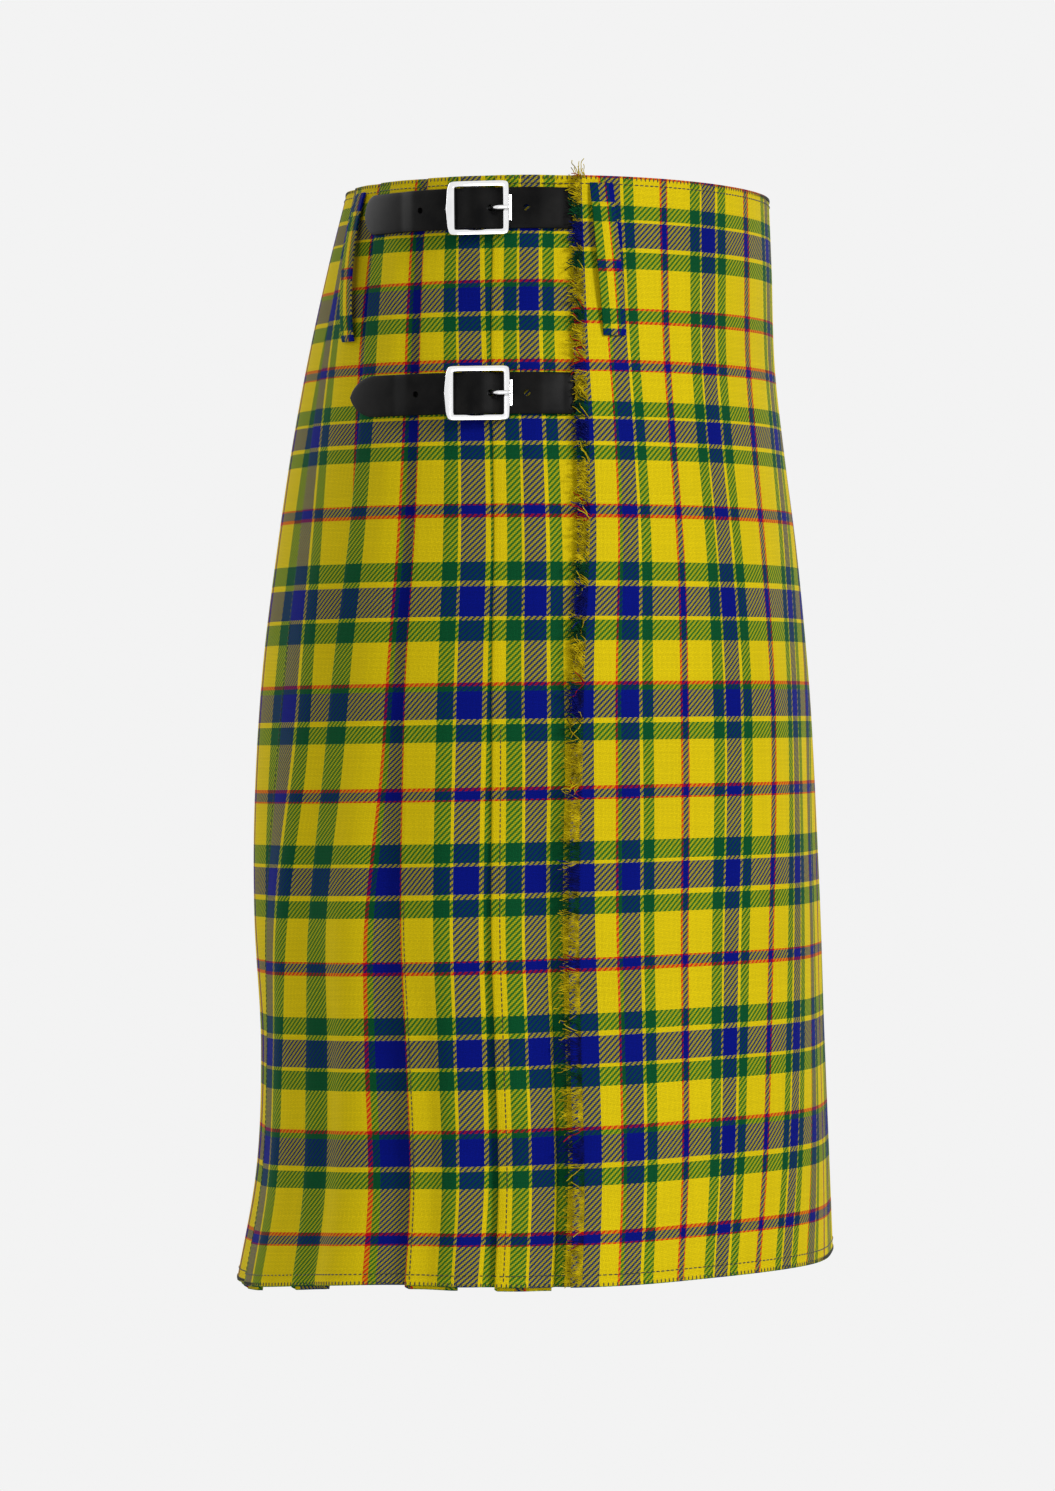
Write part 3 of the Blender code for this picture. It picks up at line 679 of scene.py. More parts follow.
@dataclass(frozen=True)
class FringeFinish:
    """Loose weft threads, each the colour of its row, darkened in random strands and clumps, partly
    as painted shade among them.
    """

    name: str = "fringe_threads"
    attribute: str = "weft"
    # The lightness and the fibre and clump shades darken the row's colour at random: partly tone,
    # partly painted shade among the loose strands.
    lightness: float = 0.52
    fibre_scale: float = 2600.0
    fibre_shade: float = 1.7
    fibre_height: float = 0.08 * MM
    clump_scale: float = 210.0
    clump_shade: float = 1.5

    def material(self) -> bpy.types.Material:
        """Builds the threads' material, which reads the sett from their attribute."""
        surface = Surface(self.name, Roughness=0.85, Specular_IOR_Level=0.12)
        row = surface.node("ShaderNodeAttribute", attribute_name=self.attribute)
        root = TartanFinish.weft(surface, Value(row.outputs["Fac"]))
        fibre = surface.noise(self.fibre_scale, stretch=(1, 1, 3))
        clump = surface.noise(self.clump_scale)
        # Painted shade, in part: the row colour is scaled down in random fibres and clumps to stand
        # in for the shadow between loose strands.
        light = self.lightness + (fibre - 0.5) * self.fibre_shade + (clump - 0.5) * self.clump_shade
        surface.wear(Base_Color=surface.scaled(surface.product(root, root), light.held()))
        surface.bump(fibre, self.fibre_height, 0.6)
        return surface.material


@dataclass(frozen=True)
class ThreadFinish:
    """Twisted sewing thread of one colour."""

    name: str
    colour: tuple[float, float, float]
    twist_scale: float = 1800.0
    twist_height: float = 0.05 * MM

    def material(self) -> bpy.types.Material:
        """Builds the thread's material."""
        surface = Surface(self.name, Roughness=0.7, Sheen_Weight=0.1)
        twist = surface.noise(self.twist_scale)
        surface.wear(Base_Color=surface.scaled(self.colour, 0.7 + twist * 0.6))
        surface.bump(twist, self.twist_height, 0.5)
        return surface.material


@dataclass(frozen=True)
class LeatherFinish:
    """Smooth black bridle leather, with a fine grain and a soft polish."""

    name: str = "black_leather"
    colour: tuple[float, float, float, float] = (0.0030, 0.0030, 0.0032, 1.0)
    worn: tuple[float, float, float, float] = (0.012, 0.0115, 0.011, 1.0)
    pore_scale: float = 1500.0
    cloud_scale: float = 90.0
    fine_scale: float = 3200.0
    grain_height: float = 0.05 * MM

    def material(self) -> bpy.types.Material:
        """Builds the leather's material."""
        surface = Surface(self.name, Specular_IOR_Level=0.04, Coat_Roughness=0.3)
        point = {"Vector": surface.object_point(), "Scale": self.pore_scale}
        grain = surface.node("ShaderNodeTexVoronoi", point, feature="DISTANCE_TO_EDGE")
        pores = (Value(grain.outputs["Distance"]) * 2.2).held()
        cloud = surface.noise(self.cloud_scale, 4.0)
        fine = surface.noise(self.fine_scale)
        surface.wear(
            Base_Color=surface.mix((cloud * 1.6 - 0.55).held(), self.colour, self.worn),
            Roughness=0.40 + cloud * 0.16 + fine * 0.06,
            Coat_Weight=cloud * 0.05,
        )
        surface.bump(pores * 0.7 + fine * 0.3, self.grain_height, 0.5)
        return surface.material


@dataclass(frozen=True)
class ChromeFinish:
    """Bright plated steel with faint polishing marks, and random grey patches of painted shade."""

    name: str = "chrome_plate"
    colour: tuple[float, float, float, float] = (0.93, 0.93, 0.935, 1.0)
    painted_grey_shade: tuple[float, float, float, float] = (0.80, 0.80, 0.81, 1.0)
    mark_scale: float = 1400.0
    mark_height: float = 0.01 * MM
    cloud_scale: float = 120.0

    def material(self) -> bpy.types.Material:
        """Builds the plating's material."""
        surface = Surface(self.name, Metallic=1.0)
        marks = surface.noise(self.mark_scale, 3.0, (1.0, 1.0, 0.12))
        cloud = surface.noise(self.cloud_scale, 3.0)
        surface.wear(
            # Painted shade: random patches of greyer plating stand in for the grey shading on the
            # frame's rails.
            Base_Color=surface.mix((cloud * 1.4 - 0.3).held(), self.colour, self.painted_grey_shade),
            Roughness=0.07 + marks * 0.07 + cloud * 0.05,
        )
        surface.bump(marks, self.mark_height, 0.25)
        return surface.material


# Mesh helpers


def new_object(name: str, mesh: bpy.types.Mesh) -> bpy.types.Object:
    """An object in the scene for a mesh."""
    thing = bpy.data.objects.new(name, mesh)
    bpy.context.scene.collection.objects.link(thing)
    return thing


def plain_mesh(thing: bpy.types.Object) -> bpy.types.Object:
    """Turns an object's modifiers into its mesh and removes them."""
    graph = bpy.context.evaluated_depsgraph_get()
    mesh = bpy.data.meshes.new_from_object(thing.evaluated_get(graph))
    thing.modifiers.clear()
    thing.data = mesh
    mesh.name = thing.name
    return thing


def shade(thing: bpy.types.Object, material: bpy.types.Material, degrees: float = 50.0) -> None:
    """Gives an object its material and smooth shading with sharp corners."""
    mesh = thing.data
    mesh.materials.clear()
    mesh.materials.append(material)
    mesh.shade_smooth()
    mesh.set_sharp_from_angle(angle=math.radians(degrees))


def loft(rows: Sequence[Array], endless: bool = False) -> bmesh.types.BMesh:
    """A closed skin over rings of points.

    Args:
        rows: The rings, each an array of points.
        endless: Whether the last ring joins the first.

    Returns:
        The skin, with its faces outwards.
    """
    bm = bmesh.new()
    grid = [[bm.verts.new(point) for point in row] for row in rows]
    width = len(rows[0])
    steps = len(grid) if endless else len(grid) - 1
    for step in range(steps):
        here, there = grid[step], grid[(step + 1) % len(grid)]
        for lane in range(width):
            beside = (lane + 1) % width
            bm.faces.new((here[lane], here[beside], there[beside], there[lane]))
    if not endless:
        bm.faces.new(grid[0])
        bm.faces.new(grid[-1])
    bmesh.ops.recalc_face_normals(bm, faces=bm.faces)
    if bm.calc_volume(signed=True) < 0:
        bmesh.ops.reverse_faces(bm, faces=bm.faces)
    return bm


def solid(name: str, bm: bmesh.types.BMesh) -> bpy.types.Object:
    """An object in the scene from a bmesh, which is freed."""
    mesh = bpy.data.meshes.new(name)
    bm.to_mesh(mesh)
    bm.free()
    return new_object(name, mesh)


def settle(piece: bpy.types.Object, slot: str, *nodes: str) -> bpy.types.Object:
    """Gives a finished piece its body, hides the solids that it stands for and logs its faces."""
    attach(piece, BODY)
    if nodes:
        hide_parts(*nodes)
    log.info("%s: %d faces", piece.name, len(piece.data.polygons))
    return piece


# Cloth


class Column(NamedTuple):
    """One line of points down the cloth: an angle, an out and a sag at each drop."""

    angle: Array
    out: Array
    sag: Array


class Run(NamedTuple):
    """Columns from one number on that share a warp chart, measured from an edge column."""

    first: int
    edge: int
    chart: WarpChart


def column(angle: Array, out: Number = 0.0, sag: float = 0.0) -> Column:
    """A column at angles, with one out and one sag or one for each drop."""
    ones = np.ones_like(angle)
    return Column(angle, out * ones, sag * ones)


def spread(low: Array, high: Array, count: int, out: Number = 0.0, sag: float = 0.0) -> list[Column]:
    """Columns evenly spread from low angles up to, but without, high ones."""
    shares = np.arange(count) / count
    return [column(between(low, high, share), out, sag) for share in shares]


def climb(low: Array, high: Array, count: int, depth: Number) -> list[Column]:
    """Columns that climb from a depth at low angles towards the surface at high ones."""
    shares = np.arange(count) / count
    return [column(between(low, high, share), depth * (1 - eased(share))) for share in shares]


FINE_ROWS = 150
HIDDEN_ROWS = 90


def cloth_drops(rows: int, *kept: float) -> Array:
    """Evenly spaced drops from waist to hem, with some exact ones among them."""
    return np.unique(np.append(np.linspace(0.0, FORM.length, rows), kept))


def plain_weft(drop: Array, middle: Array) -> Array:
    """The rows of every piece but the apron."""
    return weft_sett(drop)


def apron_weft(drop: Array, middle: Array) -> Array:
    """The apron's rows, whose top ones are charted on their own page of the map."""
    return np.where(middle < APRON_TOP_ENDS, APRON_TOP_PAGE + drop, weft_sett(drop))


@dataclass
class ClothSheet:
    """A sheet of tartan made from columns of points, with its map in metres of sett."""

    name: str
    drops: Array
    columns: list[Column]
    runs: list[Run]
    weft: Callable[[Array, Array], Array] = plain_weft
    thickness: float = 1.2 * MM

    def build(self, material: bpy.types.Material) -> bpy.types.Object:
        """Makes the sheet's object, as a thin closed wall."""
        points = self._points()
        rows, count = points.shape[:2]
        index = np.arange(rows * count).reshape(rows, count)
        corners = (index[:-1, :-1], index[:-1, 1:], index[1:, 1:], index[1:, :-1])
        faces = np.stack(corners, axis=-1).reshape(-1, 4)
        mesh = bpy.data.meshes.new(self.name)
        mesh.from_pydata(points.reshape(-1, 3).tolist(), [], faces.tolist())
        for label, places in zip((SETT_MAP, THREAD_MAP), self._maps(points)):
            layer = mesh.uv_layers.new(name=label)
            layer.data.foreach_set("uv", places.astype(np.float32).reshape(-1))
        piece = new_object(self.name, mesh)
        wall = piece.modifiers.new("Wall", "SOLIDIFY")
        wall.thickness = self.thickness
        wall.offset = 0
        wall.use_even_offset = True
        plain_mesh(piece)
        shade(piece, material)
        return piece

    def _points(self) -> Array:
        """The middle surface's points, by row and column."""
        angle, out, sag = (np.stack(values, axis=1) for values in zip(*self.columns))
        drop = np.broadcast_to(self.drops[:, None], angle.shape)
        return FORM.place(angle, drop, out - self.thickness / 2, sag)

    def _maps(self, points: Array) -> tuple[Array, Array]:
        """Each face corner's place in the sett, and its true place on the cloth."""
        setts, lengths = self._across(points)
        middle = (self.drops[:-1] + self.drops[1:]) / 2
        upper, lower = (self.weft(drops, middle) for drops in (self.drops[:-1], self.drops[1:]))
        return (
            self._corners(*setts, upper, lower),
            self._corners(*lengths, self.drops[:-1], self.drops[1:]),
        )

    @staticmethod
    def _corners(left: Array, right: Array, upper: Array, lower: Array) -> Array:
        """The corners of every face, from its sides by row and its ends' values by row."""
        across = np.stack([left[:-1], right[:-1], right[1:], left[1:]], axis=-1)
        ends = np.stack([upper, upper, lower, lower], axis=-1)[:, None]
        return np.stack([across, np.broadcast_to(ends, across.shape)], axis=-1)

    def _across(self, points: Array) -> tuple[tuple[Array, Array], tuple[Array, Array]]:
        """At the left and the right of each face: its place in the sett, and its distance."""
        steps = np.linalg.norm(np.diff(points, axis=1), axis=-1)
        walked = np.pad(np.cumsum(steps, axis=1), ((0, 0), (1, 0)))
        ends = [run.first for run in self.runs[1:]] + [len(self.columns) - 1]
        setts, lengths = [], []
        for run, end in zip(self.runs, ends):
            distance = walked[:, [run.edge]] - walked[:, run.first : end + 1]
            setts.append(run.chart.sett(distance, self.drops[:, None]))
            lengths.append(distance)
        return self._sides(setts), self._sides(lengths)

    @staticmethod
    def _sides(runs: list[Array]) -> tuple[Array, Array]:
        """The values at the left and the right of each face, from those of each run's columns."""
        left = np.concatenate([values[:, :-1] for values in runs], axis=1)
        right = np.concatenate([values[:, 1:] for values in runs], axis=1)
        return left, right


PANEL_CHARTS = (
    WarpChart(steady(75.0), Line(1.45, 1.36, 1.20, 1.17, 1.15)),
    WarpChart(
        steady(60.3),
        Line(1.80, 1.55, 1.11, 1.11, 1.16),
        Line(-0.0100, -0.0065, -0.0006, -0.0003, 0.0),
    ),
    WarpChart(
        steady(204.4),
        Line(0.72, 0.68, 0.46, 0.42, 0.43),
        Line(0.0072, 0.0070, 0.0059, 0.0022, 0.0010),
    ),
    WarpChart(Line(12.0, 6.0, 1.0, 1.0, 1.0), Line(1.30, 1.05, 0.77, 0.74, 0.72)),
)
BACK_PANEL_START = 44.0     # place in the sett, in mm, of the first panel past that chart
BACK_PANEL_STEP = 50.0      # and how far each later panel lies before it
BACK_STRETCH = Line(0.95, 0.88, 0.80, 0.78, 0.76)


@dataclass
class PleatedBack:
    """The knife-pleated cloth, in two halves that part under the fold at centre back."""

    material: bpy.types.Material
    first_panel_flat: float = 8 * MM
    panel_tuck: float = 20 * MM
    fold_bulge: float = 0.8 * MM
    underfold_drop: float = 2 * MM
    centre_back_fold: int = 5
    flat_panel: int = 1             # this one lies close under its fold down to the seat
    flat_depth: Line = Line(0.35, 0.35, 0.45, 1.0, 1.0)
    lead_columns: int = 8           # how many columns make each part of a pleat
    hidden_columns: int = 5
    climbing_columns: int = 12
    level_columns: int = 9
    fold_columns: int = 5
    back_columns: int = 6
    drops: Array = field(default_factory=lambda: cloth_drops(FINE_ROWS))

    def build(self) -> list[bpy.types.Object]:
        """Makes both halves."""
        return [
            self._half("pleats_right", 0, self.centre_back_fold),
            self._half("pleats_left", self.centre_back_fold, len(FOLDS)),
        ]

    def _half(self, node: str, first: int, last: int) -> bpy.types.Object:
        """Makes the half with the folds numbered from first up to last."""
        columns, runs = self._lead_in(first), []
        start = 0
        for number in range(first, last):
            panel, crest = self._panel(number)
            runs.append(Run(start, len(columns) + crest, self._panel_chart(number)))
            columns += panel
            if number < last - 1:
                columns += self._turn_under(number)
                start = len(columns)
                columns += self._hidden_start(FORM.angle(FOLDS[number], self.drops))
        piece = ClothSheet(f"{node}_cloth", self.drops, columns, runs).build(self.material)
        settle(piece, "tartan", node)
        return piece

    def _panel_chart(self, number: int) -> WarpChart:
        """The warp chart of the panel that ends in a numbered fold."""
        if number < len(PANEL_CHARTS):
            return PANEL_CHARTS[number]
        place = BACK_PANEL_START - BACK_PANEL_STEP * (number - len(PANEL_CHARTS))
        return WarpChart(steady(place), BACK_STRETCH)

    def _lead_in(self, first: int) -> list[Column]:
        """The hidden columns before the first panel of a half."""
        if first > 0:
            return self._hidden_start(FORM.angle(FOLDS[first - 1], self.drops))
        edge = FORM.angle(APRON_EDGE, self.drops)
        tucked = FORM.along(edge, self.drops, -self.panel_tuck)
        depth = -2 * FORM.pitch(self.drops)
        return spread(tucked, self._panel_start(0), self.lead_columns, depth)

    def _panel_start(self, number: int) -> Array:
        """The angles at which a numbered panel comes out from under its neighbour."""
        if number > 0:
            return FORM.angle(FOLDS[number - 1], self.drops)
        edge = FORM.angle(APRON_EDGE, self.drops)
        return FORM.along(edge, self.drops, self.first_panel_flat)

    def _hidden_start(self, fold: Array) -> list[Column]:
        """The next panel's hidden start, which lies innermost under a fold."""
        inner = FORM.along(fold, self.drops, -FORM.underlap(self.drops) + self.fold_bulge)
        depth = -2 * FORM.pitch(self.drops)
        return spread(inner, fold, self.hidden_columns, depth, self.underfold_drop)

    def _panel(self, number: int) -> tuple[list[Column], int]:
        """A numbered panel, its fold and the layer turned back under it.

        Args:
            number: The fold's number.

        Returns:
            The columns, and the number among them of the one at the fold's crest.
        """
        step = FORM.pitch(self.drops)
        start = self._panel_start(number)
        fold = FORM.angle(FOLDS[number], self.drops)
        inner = FORM.along(fold, self.drops, -FORM.underlap(self.drops))
        edge = FORM.along(fold, self.drops, -self.fold_bulge)
        depth = 2 * step
        if number == self.flat_panel:
            depth = depth * FORM.line(self.flat_depth, self.drops)
        columns = climb(start, inner, self.climbing_columns, -depth)
        columns += spread(inner, edge, self.level_columns)
        crest = len(columns) + self.fold_columns // 2
        for turn in np.linspace(0.0, math.pi, self.fold_columns):
            angle = FORM.along(edge, self.drops, self.fold_bulge * math.sin(turn))
            sag = self.underfold_drop * turn / math.pi
            columns.append(column(angle, -step / 2 * (1 - math.cos(turn)), sag))
        back_in = FORM.along(inner, self.drops, self.fold_bulge)
        columns += spread(edge, back_in, self.back_columns, -step, self.underfold_drop)[1:]
        columns.append(column(back_in, -step, self.underfold_drop))
        return columns, crest

    def _turn_under(self, number: int) -> list[Column]:
        """The hidden fold that joins a turned-back layer to the next panel's start."""
        step = FORM.pitch(self.drops)
        fold = FORM.angle(FOLDS[number], self.drops)
        inner = FORM.along(fold, self.drops, -FORM.underlap(self.drops))
        columns = []
        for turn in (0.25, 0.5, 0.75):
            inset = self.fold_bulge * (1 - math.sin(math.pi * turn))
            angle = FORM.along(inner, self.drops, inset)
            columns.append(column(angle, -step * (1 + turn), self.underfold_drop))
        return columns


@dataclass
class FrontApron:
    """The over-apron, from under the last pleat round the front to its fringed edge."""

    material: bpy.types.Material
    tuck: float = 12 * MM
    rise: float = 25 * MM
    woven_edge: Line = Line(3.0, 8.6, 11.8, 15.4, 15.2)     # the strip under the fringe, in mm
    chart: WarpChart = WarpChart(
        Line(-14.7, -21.0, -16.5, -15.8, -15.0),
        Line(1.66, 1.86, 1.36, 1.40, 1.44),
        Line(-0.0025, -0.0038, -0.0003, 0.0006, 0.0015),
        at_far_side=Line(480.0, 510.0, 545.0, 570.0, 590.0),
    )
    edge_chart: WarpChart = WarpChart(steady(190.0), steady(0.6))
    tucked_columns: int = 4         # how many columns make each part, from the left on
    climbing_columns: int = 8
    front_columns: int = 116
    strip_columns: int = 6
    drops: Array = field(default_factory=lambda: cloth_drops(FINE_ROWS, APRON_TOP_ENDS))

    def woven_line(self, drops: Array) -> Array:
        """The angles where the fringe ends and the whole cloth starts."""
        strip = FORM.line(self.woven_edge, drops) * MM
        return FORM.along(FORM.angle(APRON_EDGE, drops), drops, -strip)

    def build(self) -> bpy.types.Object:
        """Makes the apron."""
        depth = -2 * FORM.pitch(self.drops)
        last_fold = FORM.angle(FOLDS[-1], self.drops) - math.tau
        tucked = FORM.along(last_fold, self.drops, -self.tuck)
        risen = FORM.along(last_fold, self.drops, self.rise)
        edge = FORM.angle(APRON_EDGE, self.drops)
        woven = self.woven_line(self.drops)
        columns = spread(tucked, last_fold, self.tucked_columns, depth)
        columns += climb(last_fold, risen, self.climbing_columns, depth)
        columns += spread(risen, woven, self.front_columns)
        strip_first = len(columns)
        columns += spread(woven, edge, self.strip_columns) + [column(edge)]
        last = len(columns) - 1
        runs = [Run(0, strip_first, self.chart), Run(strip_first, last, self.edge_chart)]
        sheet = ClothSheet("front_apron_cloth", self.drops, columns, runs, apron_weft)
        return settle(sheet.build(self.material), "tartan", "front_apron")


@dataclass
class UnderApron:
    """The plain inner front panel, which closes the wrap behind the apron."""

    material: bpy.types.Material
    left: float = math.radians(-54)
    right: float = math.radians(60)
    seam_from_edge: float = 20.3 * MM
    level_run: float = 6 * MM
    chart: WarpChart = WarpChart(steady(40.0), Line(1.3, 1.15, 1.0, 0.97, 0.95))
    front_columns: int = 70
    sinking_columns: int = 5
    drops: Array = field(default_factory=lambda: cloth_drops(HIDDEN_ROWS))

    def build(self) -> bpy.types.Object:
        """Makes the under-apron."""
        step = FORM.pitch(self.drops)
        ones = np.ones_like(self.drops)
        edge = FORM.angle(APRON_EDGE, self.drops)
        seam = FORM.along(edge, self.drops, -self.seam_from_edge)
        level = FORM.along(seam, self.drops, -self.level_run)
        columns = spread(self.left * ones, self.right * ones, self.front_columns, -step)
        for share in np.linspace(0.0, 1.0, self.sinking_columns):
            angle = between(self.right * ones, level, share)
            columns.append(column(angle, -step * (1 + eased(share))))
        columns.append(column(seam, -2 * step))
        runs = [Run(0, len(columns) - 1, self.chart)]
        sheet = ClothSheet("under_apron_cloth", self.drops, columns, runs)
        return settle(sheet.build(self.material), "tartan", "under_apron")


# Repeats made by Geometry Nodes


class GuidePoint(NamedTuple):
    """A point of a guide line, with the directions and amounts that its repeats take."""

    place: Array
    outward: Array
    reach: Array
    weft: float = 0.0


def guide_line(name: str, points: Sequence[GuidePoint]) -> bpy.types.Object:
    """A bare line of points that a tree of nodes follows.

    Args:
        name: The object's name.
        points: The line's points in order.

    Returns:
        The line's object, with an attribute for each of a point's directions and amounts.
    """
    edges = [(number, number + 1) for number in range(len(points) - 1)]
    mesh = bpy.data.meshes.new(name)
    mesh.from_pydata([tuple(point.place) for point in points], edges, [])
    for label in ("outward", "reach"):
        layer = mesh.attributes.new(label, "FLOAT_VECTOR", "POINT")
        layer.data.foreach_set("vector", np.ravel([getattr(p, label) for p in points]))
    layer = mesh.attributes.new("weft", "FLOAT", "POINT")
    layer.data.foreach_set("value", [point.weft for point in points])
    return new_object(name, mesh)


class RepeatTree(NodeTree):
    """A Geometry Nodes tree under construction, with named inputs."""

    def __init__(self, name: str, *numbers: str, whole: Sequence[str] = ()) -> None:
        """Starts a tree, which is given a material too.

        Args:
            name: The tree's name.
            numbers: The names of the numbers it is given.
            whole: The names of the whole numbers.
        """
        group = bpy.data.node_groups.new(name, "GeometryNodeTree")
        super().__init__(group)
        kinds = dict.fromkeys(numbers, "NodeSocketFloat")
        kinds.update(dict.fromkeys(whole, "NodeSocketInt"))
        kinds["Material"] = "NodeSocketMaterial"
        interface = group.interface
        interface.new_socket("Geometry", in_out="INPUT", socket_type="NodeSocketGeometry")
        self.identifiers = {
            label: interface.new_socket(label, in_out="INPUT", socket_type=kind).identifier
            for label, kind in kinds.items()
        }
        interface.new_socket("Geometry", in_out="OUTPUT", socket_type="NodeSocketGeometry")
        self.given = self.node("NodeGroupInput").outputs

    def vector(self, name: str) -> bpy.types.NodeSocket:
        """A named vector of the guide."""
        node = self.node(
            "GeometryNodeInputNamedAttribute", {"Name": name}, data_type="FLOAT_VECTOR"
        )
        return node.outputs["Attribute"]

    def random_between(self, low: Feed, high: Feed, seed: Feed) -> Value:
        """A random number between two for each point."""
        node = self.node("FunctionNodeRandomValue", {"Min": low, "Max": high, "Seed": seed})
        return Value(node.outputs[1])

    def spaced_points(self) -> bpy.types.Node:
        """Points along the guide, one spacing apart."""
        curve = self.node("GeometryNodeMeshToCurve", {"Mesh": self.given["Geometry"]})
        feeds = {"Curve": curve, "Length": self.given["Spacing"]}
        return self.node("GeometryNodeResampleCurve", feeds, mode="LENGTH")

    def rotation(self, axes: str, ways: Sequence[Feed], **turn: Feed) -> bpy.types.Node:
        """A rotation for each point.

        Args:
            axes: The letters of the two axes that are pointed.
            ways: The way each of them points.
            turn: Angles by which the result is then turned about its own axes.

        Returns:
            The node that gives it.
        """
        facing = self.node(
            "FunctionNodeAxesToRotation",
            dict(enumerate(ways)),
            primary_axis=axes[0],
            secondary_axis=axes[1],
        )
        feeds = {0: facing, 1: self.node("ShaderNodeCombineXYZ", turn)}
        return self.node("FunctionNodeRotateRotation", feeds, rotation_space="LOCAL")

    def finish(self, geometry: Feed) -> None:
        """Ends the tree in Realize Instances and Set Material."""
        real = self.node("GeometryNodeRealizeInstances", {"Geometry": geometry})
        feeds = {"Geometry": real, "Material": self.given["Material"]}
        self.node("NodeGroupOutput", {"Geometry": self.node("GeometryNodeSetMaterial", feeds)})

    def grow(self, guide: bpy.types.Object, values: Mapping[str, object]) -> bpy.types.Object:
        """Turns a guide line into the repeats along it.

        Args:
            guide: The line, which becomes the finished piece.
            values: The value of each named input.

        Returns:
            The piece, as a plain mesh.
        """
        repeats = guide.modifiers.new("Repeats", "NODES")
        repeats.node_group = self.tree
        for label, value in values.items():
            repeats[self.identifiers[label]] = value
        plain_mesh(guide)
        guide.data.shade_smooth()
        return guide


def stitch_tree() -> RepeatTree:
    """Short rounded stitches laid end to end along a guide line."""
    tree = RepeatTree("stitches", "Spacing", "Length", "Thread", "Turn")
    given = tree.given
    ball = tree.node("GeometryNodeMeshUVSphere", {"Segments": 6, "Rings": 5, "Radius": 0.5})
    size = tree.node(
        "ShaderNodeCombineXYZ", {"X": given["Length"], "Y": given["Thread"], "Z": given["Thread"]}
    )
    ways = (tree.vector("outward"), tree.node("GeometryNodeInputTangent"))
    feeds = {
        "Points": tree.spaced_points(),
        "Instance": tree.node("GeometryNodeTransform", {"Geometry": ball, "Scale": size}),
        "Rotation": tree.rotation("ZX", ways, Z=given["Turn"]),
    }
    tree.finish(tree.node("GeometryNodeInstanceOnPoints", feeds))
    return tree


THREAD_POINTS = 8
THREAD_SIDES = 4
THREAD_TAPER = 0.55         # the share of its thickness that a thread loses by its end


def curled_tubes(tree: RepeatTree, threads: bpy.types.Node) -> bpy.types.Node:
    """Straight threads bent more towards their ends, and given their thickness."""
    given = tree.given
    along = Value(tree.node("GeometryNodeSplineParameter").outputs["Factor"])
    real = tree.node("GeometryNodeRealizeInstances", {"Geometry": threads})
    noise = tree.node("ShaderNodeTexNoise", {"Scale": given["Curl Scale"], "Detail": 2.0})
    centred = tree.node(
        "ShaderNodeVectorMath",
        {0: noise.outputs["Color"], 1: (0.5, 0.5, 0.5)},
        operation="SUBTRACT",
    )
    amount = along * Value(given["Curl"])
    bend = tree.node("ShaderNodeVectorMath", {0: centred, "Scale": amount}, operation="SCALE")
    bent = tree.node("GeometryNodeSetPosition", {"Geometry": real, "Offset": bend})
    taper = tree.node(
        "GeometryNodeSetCurveRadius", {"Curve": bent, "Radius": 1.0 - along * THREAD_TAPER}
    )
    profile = tree.node(
        "GeometryNodeCurvePrimitiveCircle", {"Resolution": THREAD_SIDES, "Radius": given["Thread"]}
    )
    feeds = {"Curve": taper, "Profile Curve": profile, "Fill Caps": True}
    return tree.node("GeometryNodeCurveToMesh", feeds)


def fringe_tree() -> RepeatTree:
    """Loose threads that leave a guide line in the direction of its reach."""
    numbers = ("Spacing", "Thread", "Shortest", "Longest", "Lean", "Lift", "Curl", "Curl Scale")
    tree = RepeatTree("loose_threads", *numbers, whole=("Seed",))
    given = tree.given
    line = tree.node("GeometryNodeCurvePrimitiveLine", {"Start": (0, 0, 0), "End": (1, 0, 0)})
    feeds = {"Curve": line, "Count": THREAD_POINTS}
    thread = tree.node("GeometryNodeResampleCurve", feeds, mode="COUNT")
    reach = tree.vector("reach")
    seed, lift, lean = Value(given["Seed"]), Value(given["Lift"]), Value(given["Lean"])
    turn = {
        "Y": tree.random_between(lift * -1.0, 0.0, seed),
        "Z": tree.random_between(lean * -1.0, lean, seed + 1.0),
    }
    share = tree.random_between(given["Shortest"], given["Longest"], seed + 2.0)
    length = tree.node("ShaderNodeVectorMath", {0: reach}, operation="LENGTH")
    feeds = {
        "Points": tree.spaced_points(),
        "Instance": thread,
        "Rotation": tree.rotation("XZ", (reach, tree.vector("outward")), **turn),
        "Scale": Value(length.outputs["Value"]) * share,
    }
    tree.finish(curled_tubes(tree, tree.node("GeometryNodeInstanceOnPoints", feeds)))
    return tree


class FringeLayer(NamedTuple):
    """A layer of loose threads: where it hangs and how its threads lie."""

    name: str
    top: float              # the drops between which it hangs, in mm
    bottom: float
    into_strip: Line        # where it starts, as a share of the open strip
    past_edge: float        # how much further than the fringe's usual end it reaches, in mm
    spacing: float          # of its threads, in mm
    thread: float           # their half thickness, in mm
    shortest: float         # their lengths, as shares of the reach
    longest: float
    lean: float             # how far they may turn up or down, in radians
    lift: float             # and outwards
    curl: float             # in mm
    seed: int


